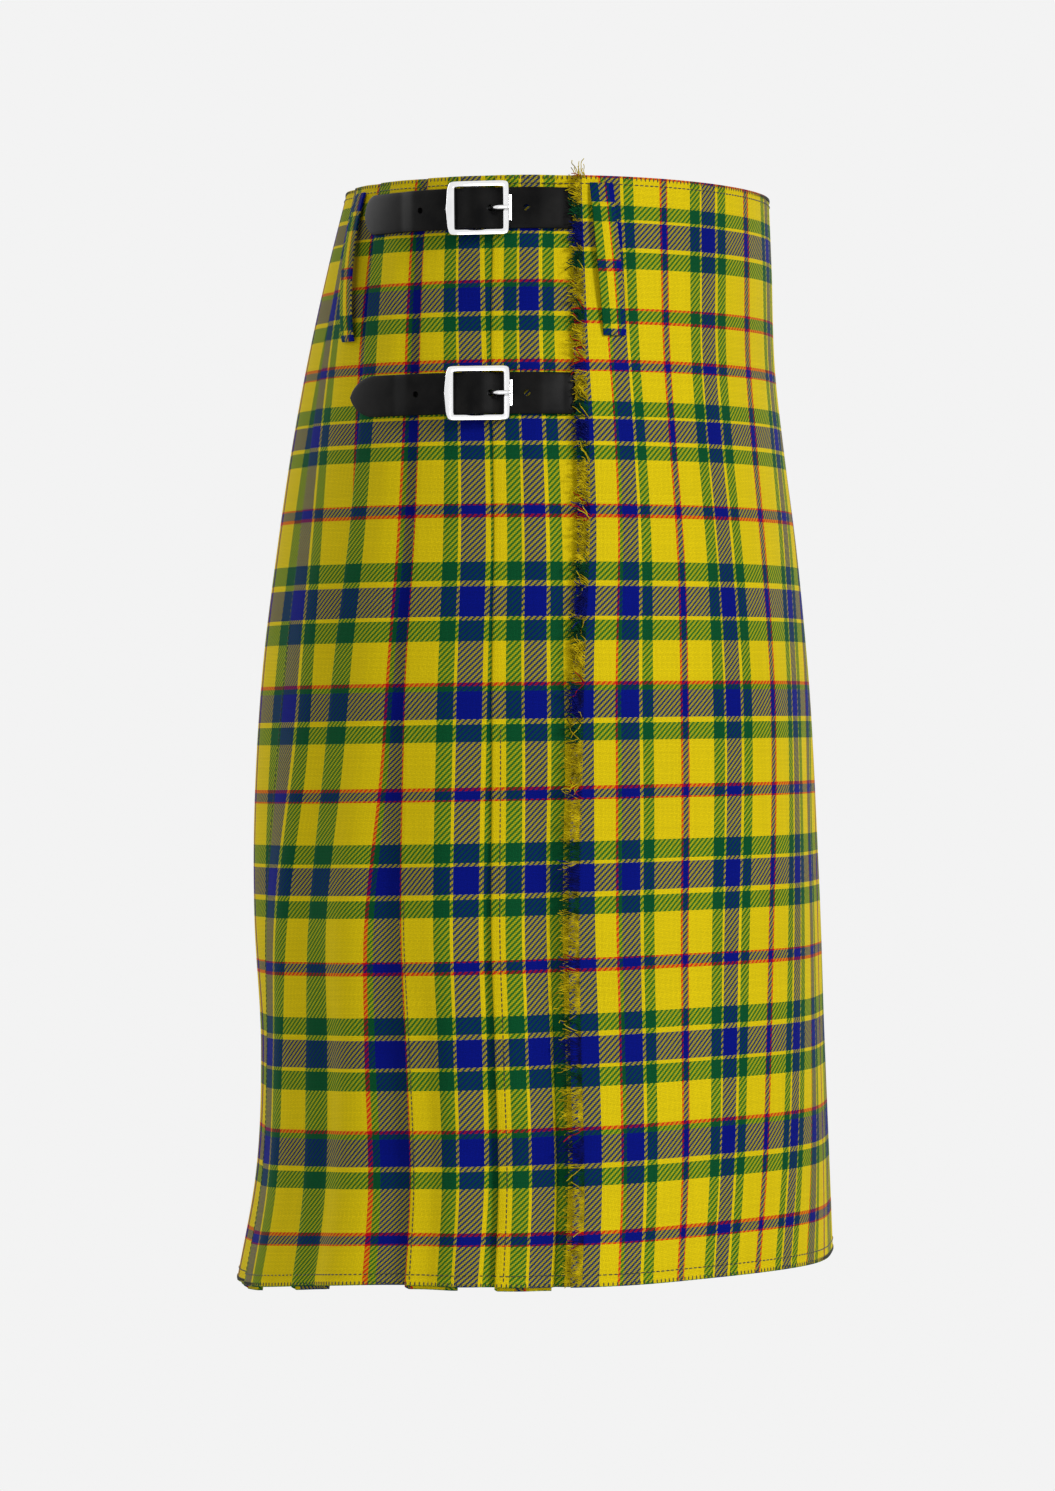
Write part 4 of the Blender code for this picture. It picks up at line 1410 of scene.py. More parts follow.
OPEN_FROM = Line(0.30, 0.48, 0.60, 0.64, 0.60)      # the strip's warp is drawn out past here
MID_FRINGE = Line(0.10, 0.25, 0.50, 0.62, 0.60)
FRINGE_LAYERS = (
    FringeLayer("combed", 0, 597, OPEN_FROM, 0.0, 0.52, 0.20, 0.60, 1.10, 0.12, 0.05, 1.8, 11),
    FringeLayer("loose", 0, 597, OPEN_FROM, 0.8, 1.05, 0.22, 0.45, 1.20, 0.40, 0.15, 4.0, 23),
    FringeLayer("curled", 2, 330, MID_FRINGE, 1.2, 0.75, 0.27, 0.60, 1.40, 1.05, 0.30, 8.0, 37),
    FringeLayer("wisps", 330, 596, MID_FRINGE, 1.2, 1.60, 0.24, 0.60, 1.30, 0.75, 0.25, 6.5, 41),
)
FRINGE_REACH = Line(2.2, 0.6, 2.2, 4.2, 2.4)       # past the apron's edge, in mm


@dataclass
class ApronFringe:
    """The apron's self-fringe: loose weft threads over the strip where the warp is drawn out."""

    material: bpy.types.Material
    apron: FrontApron
    over_apron: float = 0.25 * MM
    station_step: float = 2.5 * MM
    curl_scale: float = 230.0
    tuft_height: float = 11.5 * MM
    tuft_slope: float = 3.0         # its rise over its lean
    tuft_drop: float = 1.5 * MM
    tuft_from: float = -0.6         # where it starts, as a share of the open strip
    tuft_points: int = 4
    tuft: FringeLayer = FringeLayer(
        "tuft", 0, 0, OPEN_FROM, 0.0, 0.5, 0.24, 0.25, 1.0, 0.30, 0.15, 5.0, 53
    )

    def build(self) -> bpy.types.Object:
        """Makes every layer of threads and the tuft at the waist."""
        tree = fringe_tree()
        parts = [self._layer(tree, layer, self._guide(layer)) for layer in FRINGE_LAYERS]
        parts.append(self._layer(tree, self.tuft, self._tuft_guide()))
        return settle(joined("fringe_threads", parts), "fringe", "apron_fringe")

    def _layer(
        self, tree: RepeatTree, layer: FringeLayer, guide: list[GuidePoint]
    ) -> bpy.types.Object:
        """Grows one layer's threads from its guide."""
        return tree.grow(
            guide_line(f"fringe_{layer.name}", guide),
            {
                "Spacing": layer.spacing * MM,
                "Thread": layer.thread * MM,
                "Shortest": layer.shortest,
                "Longest": layer.longest,
                "Lean": layer.lean,
                "Lift": layer.lift,
                "Curl": layer.curl * MM,
                "Curl Scale": self.curl_scale,
                "Seed": layer.seed,
                "Material": self.material,
            },
        )

    def _guide(self, layer: FringeLayer) -> list[GuidePoint]:
        """The line down the open strip that a layer's threads leave."""
        count = int((layer.bottom - layer.top) * MM / self.station_step)
        drops = np.linspace(layer.top, layer.bottom, count) * MM
        edge = FORM.angle(APRON_EDGE, drops)
        start = between(self.apron.woven_line(drops), edge, FORM.line(layer.into_strip, drops))
        reach = (FORM.line(FRINGE_REACH, drops) + layer.past_edge) * MM
        return self._points(start, drops, FORM.along(edge, drops, reach), drops)

    def _tuft_guide(self) -> list[GuidePoint]:
        """The short line along the strip's waist end, whose threads stand up past the waist."""
        drops = np.full(self.tuft_points, self.tuft_drop)
        edge = FORM.angle(APRON_EDGE, drops)
        shares = np.linspace(self.tuft_from, 1.0, self.tuft_points)
        angles = between(self.apron.woven_line(drops), edge, shares)
        leaning = FORM.along(angles, drops, self.tuft_height / self.tuft_slope)
        return self._points(angles, drops, leaning, drops - self.tuft_height)

    def _points(
        self, start: Array, drops: Array, end: Array, end_drops: Array
    ) -> list[GuidePoint]:
        """Guide points at some angles and drops, whose threads reach towards others."""
        roots = FORM.place(start, drops, self.over_apron)
        tips = FORM.place(end, end_drops, self.over_apron)
        outward, rows = FORM.outward(start, drops), apron_weft(drops, drops)
        return [
            GuidePoint(root, normal, tip - root, row)
            for root, normal, tip, row in zip(roots, outward, tips, rows)
        ]


def joined(name: str, parts: Sequence[bpy.types.Object]) -> bpy.types.Object:
    """One object from several, under a new name."""
    bm = bmesh.new()
    for part in parts:
        bm.from_mesh(part.data)
    mesh = bpy.data.meshes.new(name)
    bm.to_mesh(mesh)
    bm.free()
    for material in parts[0].data.materials:
        mesh.materials.append(material)
    for part in parts:
        bpy.data.objects.remove(part)
    return new_object(name, mesh)


class SewnRow(NamedTuple):
    """The stitches of a row, in mm, and how far each turns from the row's way, in degrees."""

    spacing: float
    length: float
    thread: float
    turn: float = 0.0


class EdgeRow(NamedTuple):
    """A row sewn down beside a fold: the fold's number, its inset and its drops, in mm."""

    fold: int
    inset: float
    top: float
    bottom: float


TOPSTITCH = SewnRow(3.1, 2.8, 0.70)
OVERCAST = SewnRow(2.6, 2.3, 0.70, 90.0)
EDGE_STITCH = SewnRow(2.8, 2.4, 0.65)
EDGE_ROWS = (
    EdgeRow(0, 4.4, 300, 594),
    EdgeRow(1, 2.6, 390, 594),
    EdgeRow(3, 2.0, 240, 592),
)


@dataclass
class Stitching:
    """The sewing that shows: the waist and hem rows, the overcast hem and the pleats' edges."""

    thread: bpy.types.Material
    apron: FrontApron
    lift: float = 0.05 * MM
    waist_row: float = 4.5 * MM
    waist_overcast: float = 1.2 * MM
    hem_row: float = 6.5 * MM
    hem_overcast: float = 1.3 * MM
    round_points: int = 900
    open_points: int = 6            # of those, left out at the open strip
    down_points: int = 120

    def build(self) -> None:
        """Makes every row of stitches."""
        tree = stitch_tree()
        rows = [
            (f"edge_stitches_{number}", EDGE_STITCH, self._down(row))
            for number, row in enumerate(EDGE_ROWS, 1)
        ]
        rows += [
            ("waist_stitches", TOPSTITCH, self._round(self.waist_row)),
            ("waist_overcast", OVERCAST, self._round(self.waist_overcast)),
            ("hem_stitches", TOPSTITCH, self._round(FORM.length - self.hem_row)),
            ("hem_overcast", OVERCAST, self._round(FORM.length - self.hem_overcast)),
        ]
        for name, row, points in rows:
            self._row(tree, name, row, points)

    def _row(
        self, tree: RepeatTree, name: str, row: SewnRow, points: list[GuidePoint]
    ) -> None:
        """Sews one row along a guide line."""
        piece = tree.grow(
            guide_line(name, points),
            {
                "Spacing": row.spacing * MM,
                "Length": row.length * MM,
                "Thread": row.thread * MM,
                "Turn": math.radians(row.turn),
                "Material": self.thread,
            },
        )
        settle(piece, "fringe")

    def _round(self, drop: float) -> list[GuidePoint]:
        """A guide line round the outside of the kilt at a drop, over the folds and panels."""
        first = float(self.apron.woven_line(np.array([drop]))[0])
        angles = np.linspace(first, first - math.tau, self.round_points)[:-self.open_points]
        outs = surface_out(angles, drop)
        return self._points(angles, np.full_like(angles, drop), outs)

    def _down(self, row: EdgeRow) -> list[GuidePoint]:
        """A guide line down a pleat, beside its fold."""
        drops = np.linspace(row.top, row.bottom, self.down_points) * MM
        fold = FORM.angle(FOLDS[row.fold], drops)
        angles = FORM.along(fold, drops, -row.inset * MM)
        return self._points(angles, drops, np.zeros_like(drops))

    def _points(self, angles: Array, drops: Array, outs: Array) -> list[GuidePoint]:
        """Guide points on the cloth's outside."""
        places = FORM.place(angles, drops, outs + self.lift)
        outward = FORM.outward(angles, drops)
        return [GuidePoint(place, normal, normal) for place, normal in zip(places, outward)]


def surface_out(angles: Array, drop: float) -> Array:
    """How far out the visible cloth lies at angles: 0, or less where a pleat climbs."""
    turned = np.mod(angles, math.tau)
    edge = float(FORM.angle(APRON_EDGE, drop))
    depth = 2 * float(FORM.pitch(drop))
    outs = np.zeros_like(turned)
    start = edge
    for line in FOLDS:
        fold = float(FORM.angle(line, drop))
        inner = float(FORM.along(fold, drop, -float(FORM.underlap(drop))))
        here = (turned > start) & (turned <= fold)
        share = (turned - start) / (inner - start)
        outs = np.where(here, -depth * (1 - eased(share)), outs)
        start = fold
    return outs


# Belt loops


class Loop(NamedTuple):
    """A belt loop: its name's ending and the angles of its upper and lower ends."""

    side: str
    top: float
    bottom: float


LOOPS = (
    Loop("front_right", 78.8, 72.7),
    Loop("rear_right", 154.5, 144.5),
    Loop("rear_left", 205.5, 215.5),
    Loop("front_left", 281.2, 287.3),
)


class LoopLane(NamedTuple):
    """A lane of stripes down a belt loop: the share of its width and its sett, in mm."""

    first: float
    last: float
    sett_first: float
    sett_last: float


@dataclass
class BeltLoop:
    """A cloth strip that lies close at both ends and stands off the kilt between them."""

    loop: Loop
    material: bpy.types.Material
    half_width: float = 6.4 * MM
    thickness: float = 1.3 * MM
    bulge: float = 3.0 * MM
    top: float = 4 * MM
    bottom: float = 87.5 * MM
    fullness: float = 0.7           # how soon it stands off: less is sooner
    edge_rounding: float = 0.35 * MM
    clearance: float = 0.3 * MM
    weft_start: float = 99.4 * MM
    weft_stretch: float = 1.1
    stations: int = 44
    lanes: tuple[LoopLane, ...] = (
        LoopLane(0.0, 0.38, 10.5, 0.2),
        LoopLane(0.38, 0.66, 234.2, 229.0),
        LoopLane(0.66, 1.0, 212.4, 208.0),
    )

    def build(self) -> bpy.types.Object:
        """Makes the loop."""
        shares = np.linspace(0.0, 1.0, self.stations)
        drops = between(self.top, self.bottom, shares)
        middle = np.radians(between(self.loop.top, self.loop.bottom, shares))
        rise = self.bulge * np.sin(math.pi * shares) ** self.fullness
        outs = self._cloth_under(middle, drops) + self.clearance + self.thickness / 2 + rise
        rows = []
        for lane in self.lanes:
            for share in (lane.first, lane.last):
                side = between(-self.half_width, self.half_width, share)
                angles = FORM.along(middle, drops, side)
                rows.append(FORM.place(angles, drops, outs))
        points = np.stack(rows, axis=1)
        piece = self._strip(points, drops)
        return settle(piece, "tartan", f"belt_loop_{self.loop.side}")

    def _cloth_under(self, middle: Array, drops: Array) -> Array:
        """How far out the cloth reaches under the strip's width, at each drop."""
        sides = np.array([-1, 0, 1]) * self.half_width
        outs = [
            surface_out(FORM.along(angle, drop, sides), drop).max()
            for angle, drop in zip(middle, drops)
        ]
        return np.array(outs)

    def _strip(self, points: Array, drops: Array) -> bpy.types.Object:
        """The strip's wall from rows of points, two for each lane."""
        bm = bmesh.new()
        charted = bm.loops.layers.uv.new(SETT_MAP)
        woven = bm.loops.layers.uv.new(THREAD_MAP)
        grid = [[bm.verts.new(point) for point in row] for row in points]
        weft = self.weft_start + (drops - drops[0]) * self.weft_stretch
        for row in range(len(grid) - 1):
            for number, lane in enumerate(self.lanes):
                left, right = 2 * number, 2 * number + 1
                face = bm.faces.new(
                    (grid[row][left], grid[row][right], grid[row + 1][right], grid[row + 1][left])
                )
                setts = (lane.sett_first, lane.sett_last, lane.sett_last, lane.sett_first)
                wefts = (weft[row], weft[row], weft[row + 1], weft[row + 1])
                across = (lane.first, lane.last, lane.last, lane.first)
                for corner, sett, place, share in zip(face.loops, setts, wefts, across):
                    corner[charted].uv = (sett * MM, place)
                    corner[woven].uv = (-share * 2 * self.half_width, place)
        bmesh.ops.remove_doubles(bm, verts=bm.verts, dist=1e-6)
        piece = solid(f"belt_loop_{self.loop.side}_cloth", bm)
        wall = piece.modifiers.new("Wall", "SOLIDIFY")
        wall.thickness = self.thickness
        wall.offset = 0
        edge = piece.modifiers.new("Edge", "BEVEL")
        edge.width = self.edge_rounding
        edge.segments = 2
        plain_mesh(piece)
        shade(piece, self.material)
        return piece


# Straps and buckles


class StrapStation(NamedTuple):
    """The strap's underside, in mm: distance from the apron's edge, out, thickness."""

    along: float
    out: float
    thickness: float


STRAP_PATH = (
    StrapStation(-20.0, -2.85, 1.2),
    StrapStation(-1.0, -2.85, 1.2),
    StrapStation(4.0, -2.85, 2.0),
    StrapStation(6.0, -2.8, 2.0),
    StrapStation(19.5, 0.4, 2.0),
    StrapStation(39.1, 0.35, 2.0),
    StrapStation(42.6, 0.95, 2.0),
    StrapStation(46.6, 3.3, 2.0),
    StrapStation(49.6, 5.2, 2.0),
    StrapStation(52.6, 5.9, 2.0),
    StrapStation(55.6, 5.3, 2.0),
    StrapStation(59.6, 3.4, 2.0),
    StrapStation(63.6, 2.05, 2.0),
    StrapStation(93.6, 2.05, 2.0),
    StrapStation(103.6, 0.35, 2.0),
    StrapStation(139.5, 0.35, 2.0),
)


class Strap(NamedTuple):
    """One strap with its buckle."""

    level: str
    drop: float         # of its middle line
    tip: float          # length of its tip
    tip_power: float    # 0.5 cuts a round tip and 1 a pointed one


STRAPS = (
    Strap("upper", 18.0 * MM, 11 * MM, 0.45),
    Strap("lower", 119.0 * MM, 20 * MM, 0.58),
)


class Outline(NamedTuple):
    """A rounded rectangle round the centre bar, in mm."""

    front: float        # reach forward of the bar
    back: float         # and behind it
    half_height: float
    front_bulge: float  # how far its bars bow outwards at their middles
    back_bulge: float
    rail_bulge: float
    power: float        # how square it is: 0 has sharp corners and 1 is an ellipse

    def point(self, turn: float) -> Vector:
        """The outline's point at a turn round it: along and up."""
        cosine, sine = math.cos(turn), math.sin(turn)
        reach = math.copysign(abs(cosine) ** self.power, cosine)
        rise = math.copysign(abs(sine) ** self.power, sine)
        half, bulge = (self.back, self.back_bulge) if reach > 0 else (self.front, self.front_bulge)
        along = half * reach + math.copysign(bulge * (1 - rise**2), reach)
        up = self.half_height * rise + math.copysign(self.rail_bulge * (1 - reach**2), rise)
        return Vector((along, up))


FRAME_WINDOW = Outline(14.7, 11.8, 11.7, 0.0, 0.0, 0.0, 0.06)
FRAME_OUTSIDE = Outline(17.6, 15.0, 14.8, 0.4, 2.2, 0.1, 0.13)


TIP_CENTRE, TIP_SHARE, TIP_LEAST = 1.02, 0.1, 0.05     # how the prong's end is rounded
PRONG_PATH = (              # how far forward of the bar and how far out, in mm
    (2.0, 3.3), (4.0, 2.7), (6.2, 2.5), (8.2, 3.2),
    (10.0, 5.0), (12.5, 6.5), (16.5, 6.9), (19.0, 6.6),
)


class Upright(NamedTuple):
    """An upright rod of a buckle, in mm."""

    behind: float           # from the bar, negative in front of it
    reach: float            # up and down from the strap's middle
    out: float
    radius: float


CENTRE_BAR = Upright(0.0, 13.4, 2.9, 1.1)
FRONT_LIP = Upright(-18.4, 7.0, 3.6, 0.75)


class FrameHeights(NamedTuple):
    """How far out the frame's middle and faces lie, in mm."""

    front: float = 4.2
    back: float = 5.6
    half_depth: float = 1.25
    ear_reach: float = 6.0      # near the bar the frame reaches in as far as its ears' low
    ear_low: float = 1.7


FRAME_HEIGHTS = FrameHeights()


class RoundSection(NamedTuple):
    """One ring of a bent rod: its middle and its two half widths, in metres."""

    along: float
    up: float
    out: float
    radius: float


@dataclass
class BuckledStrap:
    """A leather strap through its chrome buckle, with the tab that holds the buckle."""

    strap: Strap
    leather: bpy.types.Material
    chrome: bpy.types.Material
    length: float = 139.5 * MM
    half_width: float = 11.3 * MM
    tip_blunt: float = 0.5 * MM
    rounding: float = 0.55 * MM
    crown: float = 0.12 * MM
    bend_ease: float = 1.2 * MM
    sewn_end: float = -20 * MM
    station_step: float = 1.5 * MM
    tip_stations: int = 22
    holes: tuple[float, ...] = (26 * MM, 88 * MM)
    hole_radius: float = 1.75 * MM
    hole_sides: int = 28
    punch_outs: tuple[float, float] = (-4 * MM, 12 * MM)
    prong_hole: float = 44.9 * MM
    bar_at: float = 52.6 * MM
    bar_out: float = CENTRE_BAR.out * MM
    bar_radius: float = CENTRE_BAR.radius * MM
    tab_play: float = 0.3 * MM
    tab_thickness: float = 1.2 * MM
    tab_half_width: float = 11 * MM
    tab_length: float = 38 * MM
    tab_bend: float = 2 * MM        # how far behind the bar its flat part ends
    tab_wrap: tuple[float, float] = (270, 30)       # the degrees of its way round the bar
    tab_flat_stations: int = 16
    tab_wrap_stations: int = 14
    prong_stations: int = 26
    prong_root: float = 1.35 * MM
    prong_end: float = 1.3 * MM
    ring_stations: int = 24
    ring_reach: float = 2.0 * MM
    ring_wire: float = 0.58 * MM
    upright_rings: int = 9
    rod_sides: int = 14
    frame_stations: int = 144
    frame_section: tuple[tuple[float, float], ...] = (     # shares of its width and height
        (-1.0, 0.12),
        (-0.9, 0.0),
        (0.9, 0.0),
        (1.0, 0.15),
        (1.0, 0.62),
        (0.93, 0.84),
        (0.78, 0.96),
        (0.5, 1.0),
        (-0.5, 1.0),
        (-0.8, 0.96),
        (-0.95, 0.86),
        (-1.0, 0.7),
    )

    def place(self, along: Number, up: Number, out: Number) -> Array:
        """World points at distances from the apron's edge and heights over the middle."""
        edge = float(FORM.angle(APRON_EDGE, self.strap.drop))
        angle = FORM.along(edge, self.strap.drop, along)
        drop = self.strap.drop - up
        return FORM.place(FORM.upright(angle, self.strap.drop, drop), drop, out)

    def build(self) -> None:
        """Makes the strap, the tab, the frame and the prong."""
        level = self.strap.level
        settle(self._leather(), "leather", f"strap_{level}")
        settle(self._tab(), "leather", f"buckle_tab_{level}")
        settle(self._frame(), "chrome", f"buckle_frame_{level}")
        settle(self._prong(), "chrome", f"buckle_prong_{level}")

    def _level(self, along: Array) -> tuple[Array, Array]:
        """The strap's underside and thickness at distances, with its bends eased."""
        table = np.array(STRAP_PATH) * MM
        window = np.linspace(-self.bend_ease, self.bend_ease, 7)
        near = along[:, None] + window
        low = np.interp(near, table[:, 0], table[:, 1]).mean(axis=1)
        return low, np.interp(along, table[:, 0], table[:, 2])

    def _half_widths(self, along: Array) -> Array:
        """The strap's half widths, which run out in its tip."""
        from_end = np.clip((self.length - along) / self.strap.tip, 0, 1)
        cut = np.sin(math.pi / 2 * from_end) ** self.strap.tip_power
        return np.maximum(self.tip_blunt, self.half_width * cut)

    def _leather(self) -> bpy.types.Object:
        """The strap, with its rounded edges and its punched holes."""
        tip_start = self.length - self.strap.tip
        body = np.arange(self.sewn_end, tip_start, self.station_step)
        turns = np.linspace(0, math.pi / 2, self.tip_stations)
        tip = tip_start + self.strap.tip * np.sin(turns)
        stations = np.append(body, tip)
        low, thickness = self._level(stations)
        halves = self._half_widths(stations)
        rows = [
            self.place(at, *self._section(half, under, thick))
            for at, half, under, thick in zip(stations, halves, low, thickness)
        ]
        piece = solid(f"strap_{self.strap.level}_leather", loft(rows))
        for hole in self.holes + (self.prong_hole,):
            self._punch(piece, hole)
        shade(piece, self.leather, 40)
        return piece

    def _section(self, half: float, low: float, thickness: float) -> tuple[Array, Array]:
        """The heights and outs of the strap's section: a slab with rounded outer edges."""
        curve = min(self.rounding, half / 3)
        turns = np.linspace(0, math.pi / 2, 4)
        across = np.array([-0.8, -0.4, 0.0, 0.4, 0.8]) * (half - curve)
        high = low + thickness
        crown = self.crown * (1 - (across / half) ** 2)
        right = half - curve * (1 - np.cos(turns))
        right_out = high - curve * (1 - np.sin(turns))
        up = np.concatenate([[-half, half], right, across[::-1], -right[::-1]])
        out = np.concatenate([[low, low], right_out, high + crown[::-1], right_out[::-1]])
        return up, out

    def _punch(self, piece: bpy.types.Object, along: float) -> None:
        """Cuts a round hole through the strap."""
        turns = np.linspace(0, math.tau, self.hole_sides, endpoint=False)
        rows = [
            self.place(
                along + self.hole_radius * np.cos(turns), self.hole_radius * np.sin(turns), out
            )
            for out in self.punch_outs
        ]
        tool = solid("punch", loft(rows))
        cut = piece.modifiers.new("Punch", "BOOLEAN")
        cut.operation = "DIFFERENCE"
        cut.object = tool
        plain_mesh(piece)
        bpy.data.objects.remove(tool)

    def _tab(self) -> bpy.types.Object:
        """The leather tab, a strip sewn down behind the bar and bent up round it."""
        wrap = self.bar_radius + self.tab_play + self.tab_thickness / 2
        turns = np.radians(np.linspace(*self.tab_wrap, self.tab_wrap_stations))
        flat = np.linspace(self.tab_length, self.tab_bend, self.tab_flat_stations)
        along = np.append(flat, wrap * np.cos(turns)) + self.bar_at
        low = np.full_like(flat, self.bar_out - wrap)
        out = np.append(low, self.bar_out + wrap * np.sin(turns))
        ahead, rise = np.gradient(along), np.gradient(out)
        scale = self.tab_thickness / 2 / np.hypot(ahead, rise)
        ups = np.array([-1, 1, 1, -1]) * self.tab_half_width
        side = np.array([-1, -1, 1, 1])
        rows = [
            self.place(at - y * size * side, ups, height + x * size * side)
            for at, height, x, y, size in zip(along, out, ahead, rise, scale)
        ]
        piece = solid(f"buckle_tab_{self.strap.level}_leather", loft(rows))
        shade(piece, self.leather, 40)
        return piece

    def _rod(self, rings: Sequence[RoundSection], endless: bool = False) -> bmesh.types.BMesh:
        """A bent round rod through rings, across the direction in which they follow."""
        middles = np.array([ring[:3] for ring in rings])
        ahead = np.roll(middles, -1, axis=0) - np.roll(middles, 1, axis=0)
        if not endless:
            ahead[0], ahead[-1] = middles[1] - middles[0], middles[-1] - middles[-2]
        turns = np.linspace(0, math.tau, self.rod_sides, endpoint=False)
        side_way = Vector((0, 1, 0))
        rows = []
        for middle, heading, ring in zip(middles, ahead, rings):
            forward = Vector(heading).normalized()
            side = forward.cross(side_way)
            if side.length < 0.1:
                side = forward.cross(Vector((1, 0, 0)))
            side.normalize()
            third = forward.cross(side)
            circle = [
                Vector(middle) + (side * math.cos(t) + third * math.sin(t)) * ring.radius
                for t in turns
            ]
            along, up, out = np.array([tuple(p) for p in circle]).T
            rows.append(self.place(along, up, out))
        return loft(rows, endless=endless)

    def _prong(self) -> bpy.types.Object:
        """The prong: a tapered rod from the bar, through the strap, over the front bar."""
        path = np.array(PRONG_PATH) * MM
        steps = np.linspace(0, 1, self.prong_stations)
        knots = np.linspace(0, 1, len(path))
        forward = smooth_through(knots, path[:, 0], steps)
        outs = smooth_through(knots, path[:, 1], steps)
        rounded = np.sqrt(np.clip((TIP_CENTRE - steps) / TIP_SHARE, TIP_LEAST, 1))
        radii = between(self.prong_root, self.prong_end, steps) * rounded
        rings = [
            RoundSection(self.bar_at - f, 0.0, o, r) for f, o, r in zip(forward, outs, radii)
        ]
        blade = self._rod(rings)
        turns = np.linspace(0, math.tau, self.ring_stations, endpoint=False)
        along = self.bar_at + self.ring_reach * np.cos(turns)
        outs = self.bar_out + self.ring_reach * np.sin(turns)
        rings = [RoundSection(at, 0.0, out, self.ring_wire) for at, out in zip(along, outs)]
        ring = self._rod(rings, endless=True)
        parts = [solid("prong_blade", blade), solid("prong_ring", ring)]
        piece = joined(f"buckle_prong_{self.strap.level}_steel", parts)
        shade(piece, self.chrome, 60)
        return piece

    def _frame(self) -> bpy.types.Object:
        """The frame, a rounded rectangle of flat-faced bars, with its centre bar and lip."""
        rows = []
        for number in range(self.frame_stations):
            turn = math.tau * number / self.frame_stations
            middle, half_width, low, high = self._frame_station(turn)
            points = [
                (middle + half_width * across, between(low, high, lift))
                for across, lift in self.frame_section
            ]
            along, up = (np.array([at[axis] for at, _ in points]) for axis in (0, 1))
            out = np.array([out for _, out in points])
            rows.append(self.place(self.bar_at + along * MM, up * MM, out * MM))
        parts = [
            solid("frame_ring", loft(rows, endless=True)),
            solid("frame_bar", self._upright(CENTRE_BAR)),
            solid("frame_lip", self._upright(FRONT_LIP)),
        ]
        piece = joined(f"buckle_frame_{self.strap.level}_steel", parts)
        shade(piece, self.chrome, 35)
        return piece

    def _upright(self, rod: Upright) -> bmesh.types.BMesh:
        """An upright rod of the frame."""
        ups = np.linspace(-rod.reach, rod.reach, self.upright_rings) * MM
        at, out, radius = self.bar_at + rod.behind * MM, rod.out * MM, rod.radius * MM
        return self._rod([RoundSection(at, up, out, radius) for up in ups])

    @staticmethod
    def _frame_station(turn: float) -> tuple[Vector, Vector, float, float]:
        """One place on the frame's closed path, in mm.

        Args:
            turn: The angle round the frame.

        Returns:
            Its middle, the way from there to its outer edge, and its lowest and highest out.
        """
        inner, outer = FRAME_WINDOW.point(turn), FRAME_OUTSIDE.point(turn)
        middle, half_width = (inner + outer) / 2, (outer - inner) / 2
        share = (middle.x + FRAME_WINDOW.front) / (FRAME_WINDOW.front + FRAME_WINDOW.back)
        out = between(FRAME_HEIGHTS.front, FRAME_HEIGHTS.back, min(max(share, 0.0), 1.0))
        ear = max(0.0, 1 - abs(middle.x) / FRAME_HEIGHTS.ear_reach)
        low = between(out - FRAME_HEIGHTS.half_depth, FRAME_HEIGHTS.ear_low, ear)
        return middle, half_width, low, out + FRAME_HEIGHTS.half_depth


# The studio


class SoftLight(NamedTuple):
    """A square light: its name, place and side in metres, and power in watts."""

    name: str
    at: tuple[float, float, float]
    size: float
    power: float


LIGHTS = (
    SoftLight("key", (-2.7, -2.4, 1.5), 0.9, 88.0),
    SoftLight("fill", (-3.2, 1.9, 0.1), 2.2, 24.0),
    SoftLight("rear_right", (2.4, 2.6, 1.4), 2.2, 52.0),
    SoftLight("rear_left", (3.0, -1.8, 0.9), 2.2, 34.0),
)


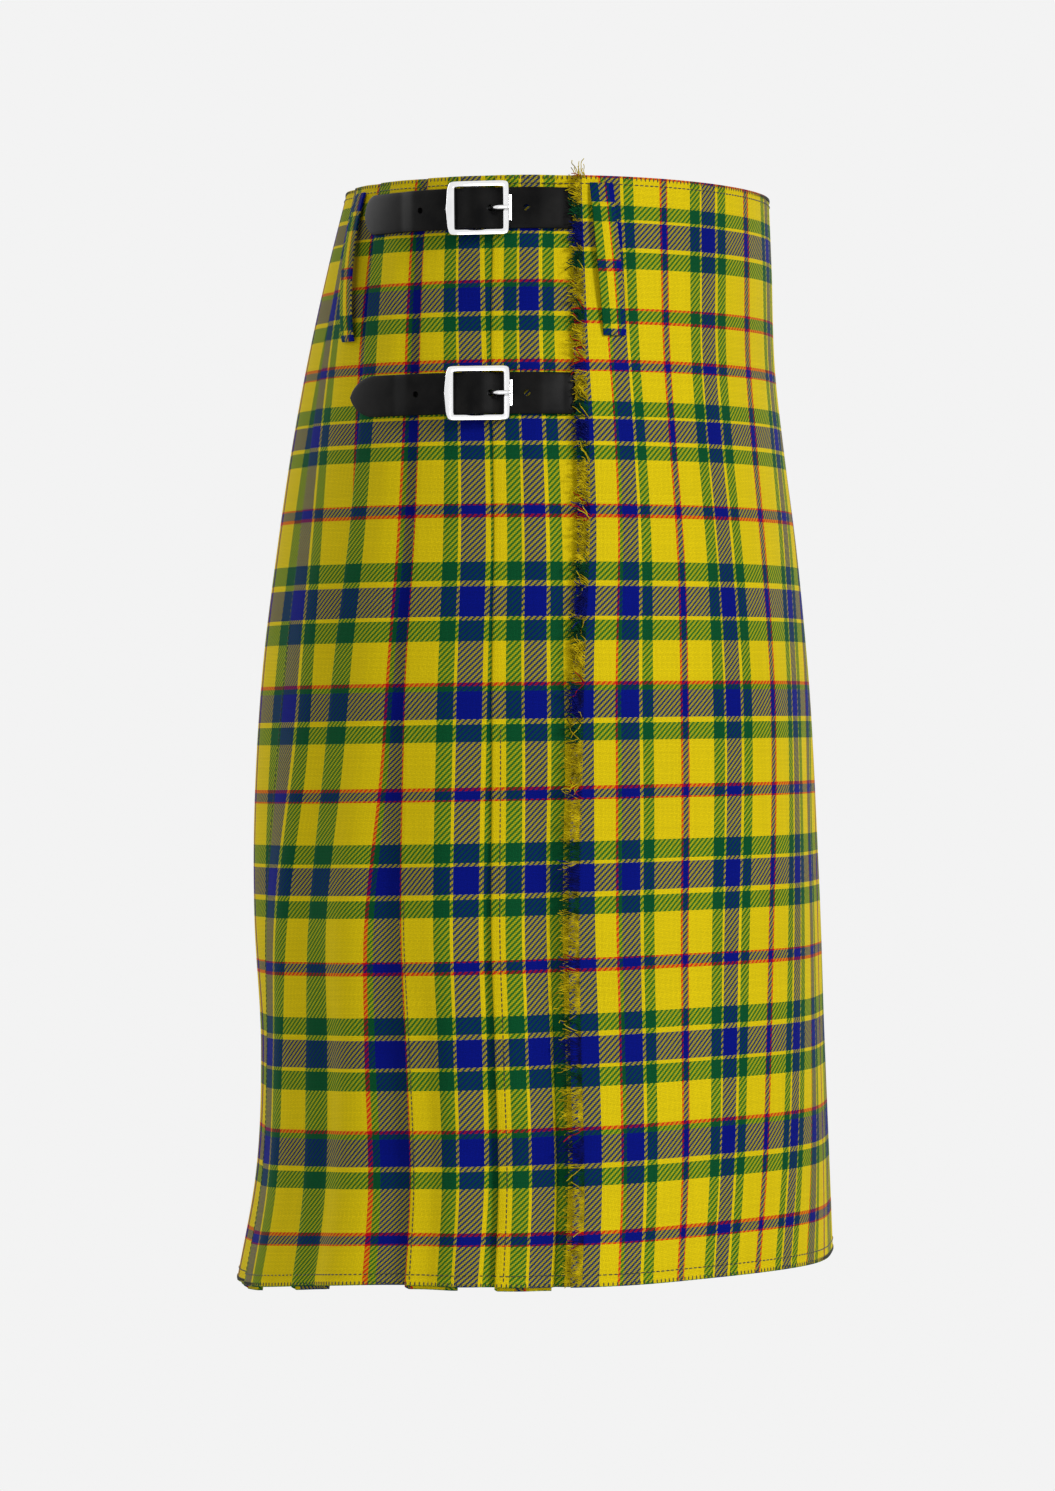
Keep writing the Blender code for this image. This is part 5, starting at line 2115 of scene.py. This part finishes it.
@dataclass
class Studio:
    """A plain pale floor, soft lights and the camera, which looks level from the right."""

    camera_at: tuple[float, float, float] = (-4.0, 0.0159, -0.3079)
    lens: float = 172.7         # in mm, as is the sensor's width
    sensor: float = 36.0
    lights_aim: tuple[float, float, float] = (0.0, 0.0, -0.3)
    floor_drop: float = 1.12
    floor_radius: float = 2.8
    floor_sides: int = 96
    floor_tone: float = 0.80
    backdrop: float = 0.896     # the pale surround as it shows
    surround: float = 0.30      # the light that it gives
    reflected: float = 0.93     # and as it shows in polished metal

    def build(self) -> None:
        """Sets up the camera, the lights, the floor and the backdrop's colour."""
        self._camera()
        self._floor()
        self._world()
        for light in LIGHTS:
            self._light(light)

    def _camera(self) -> None:
        """The camera."""
        data = bpy.data.cameras.new("camera")
        data.lens = self.lens
        data.sensor_width = self.sensor
        data.dof.use_dof = False
        camera = bpy.data.objects.new("camera", data)
        camera.location = self.camera_at
        camera.rotation_euler = Euler((math.pi / 2, 0, -math.pi / 2))
        bpy.context.scene.collection.objects.link(camera)
        bpy.context.scene.camera = camera

    def _light(self, light: SoftLight) -> None:
        """A large soft light that faces the middle of the kilt."""
        data = bpy.data.lights.new(light.name, "AREA")
        data.size = light.size
        data.energy = light.power
        lamp = bpy.data.objects.new(light.name, data)
        lamp.location = light.at
        facing = Vector(self.lights_aim) - Vector(light.at)
        lamp.rotation_euler = facing.to_track_quat("-Z", "Y").to_euler()
        bpy.context.scene.collection.objects.link(lamp)

    def _floor(self) -> None:
        """A round pale floor under the kilt."""
        bm = bmesh.new()
        bmesh.ops.create_circle(
            bm, cap_ends=True, segments=self.floor_sides, radius=self.floor_radius
        )
        bmesh.ops.translate(bm, verts=bm.verts, vec=(0, 0, -self.floor_drop))
        floor = solid("floor", bm)
        surface = Surface("floor_paint", Roughness=0.9)
        tone = self.floor_tone + surface.noise(3.0) * 0.02
        surface.wear(Base_Color=surface.scaled((1.0, 1.0, 1.0), tone))
        floor.data.materials.append(surface.material)

    def _world(self) -> None:
        """A pale, even surround."""
        world = bpy.data.worlds.new("studio")
        world.use_nodes = True
        tree = NodeTree(world.node_tree)
        path = tree.node("ShaderNodeLightPath").outputs
        seen, mirrored = Value(path["Is Camera Ray"]), Value(path["Is Glossy Ray"])
        background = world.node_tree.nodes["Background"]
        background.inputs["Color"].default_value = (1.0, 1.0, 1.0, 1.0)
        strength = seen * (self.backdrop - self.surround) + self.surround
        strength = strength + mirrored * (self.reflected - self.surround)
        tree.feed(background.inputs["Strength"], strength)
        bpy.context.scene.world = world
        bpy.context.scene.view_settings.view_transform = "Standard"


def main() -> None:
    """Builds the kilt's pieces in order, then the studio round them."""
    logging.basicConfig(level=logging.INFO, format="%(message)s")
    tartan = TartanFinish().material()
    leather = LeatherFinish().material()
    chrome = ChromeFinish().material()
    thread = ThreadFinish("dark_thread", (0.014, 0.018, 0.010)).material()
    under_piece = UnderApron(tartan).build()
    pleats = PleatedBack(tartan).build()
    apron = FrontApron(tartan)
    apron_piece = apron.build()
    fringe = ApronFringe(FringeFinish().material(), apron).build()
    Stitching(thread, apron).build()
    for loop in LOOPS:
        BeltLoop(loop, tartan).build()
    for strap in STRAPS:
        BuckledStrap(strap, leather, chrome).build()
    Studio().build()


if __name__ == "__main__":
    main()
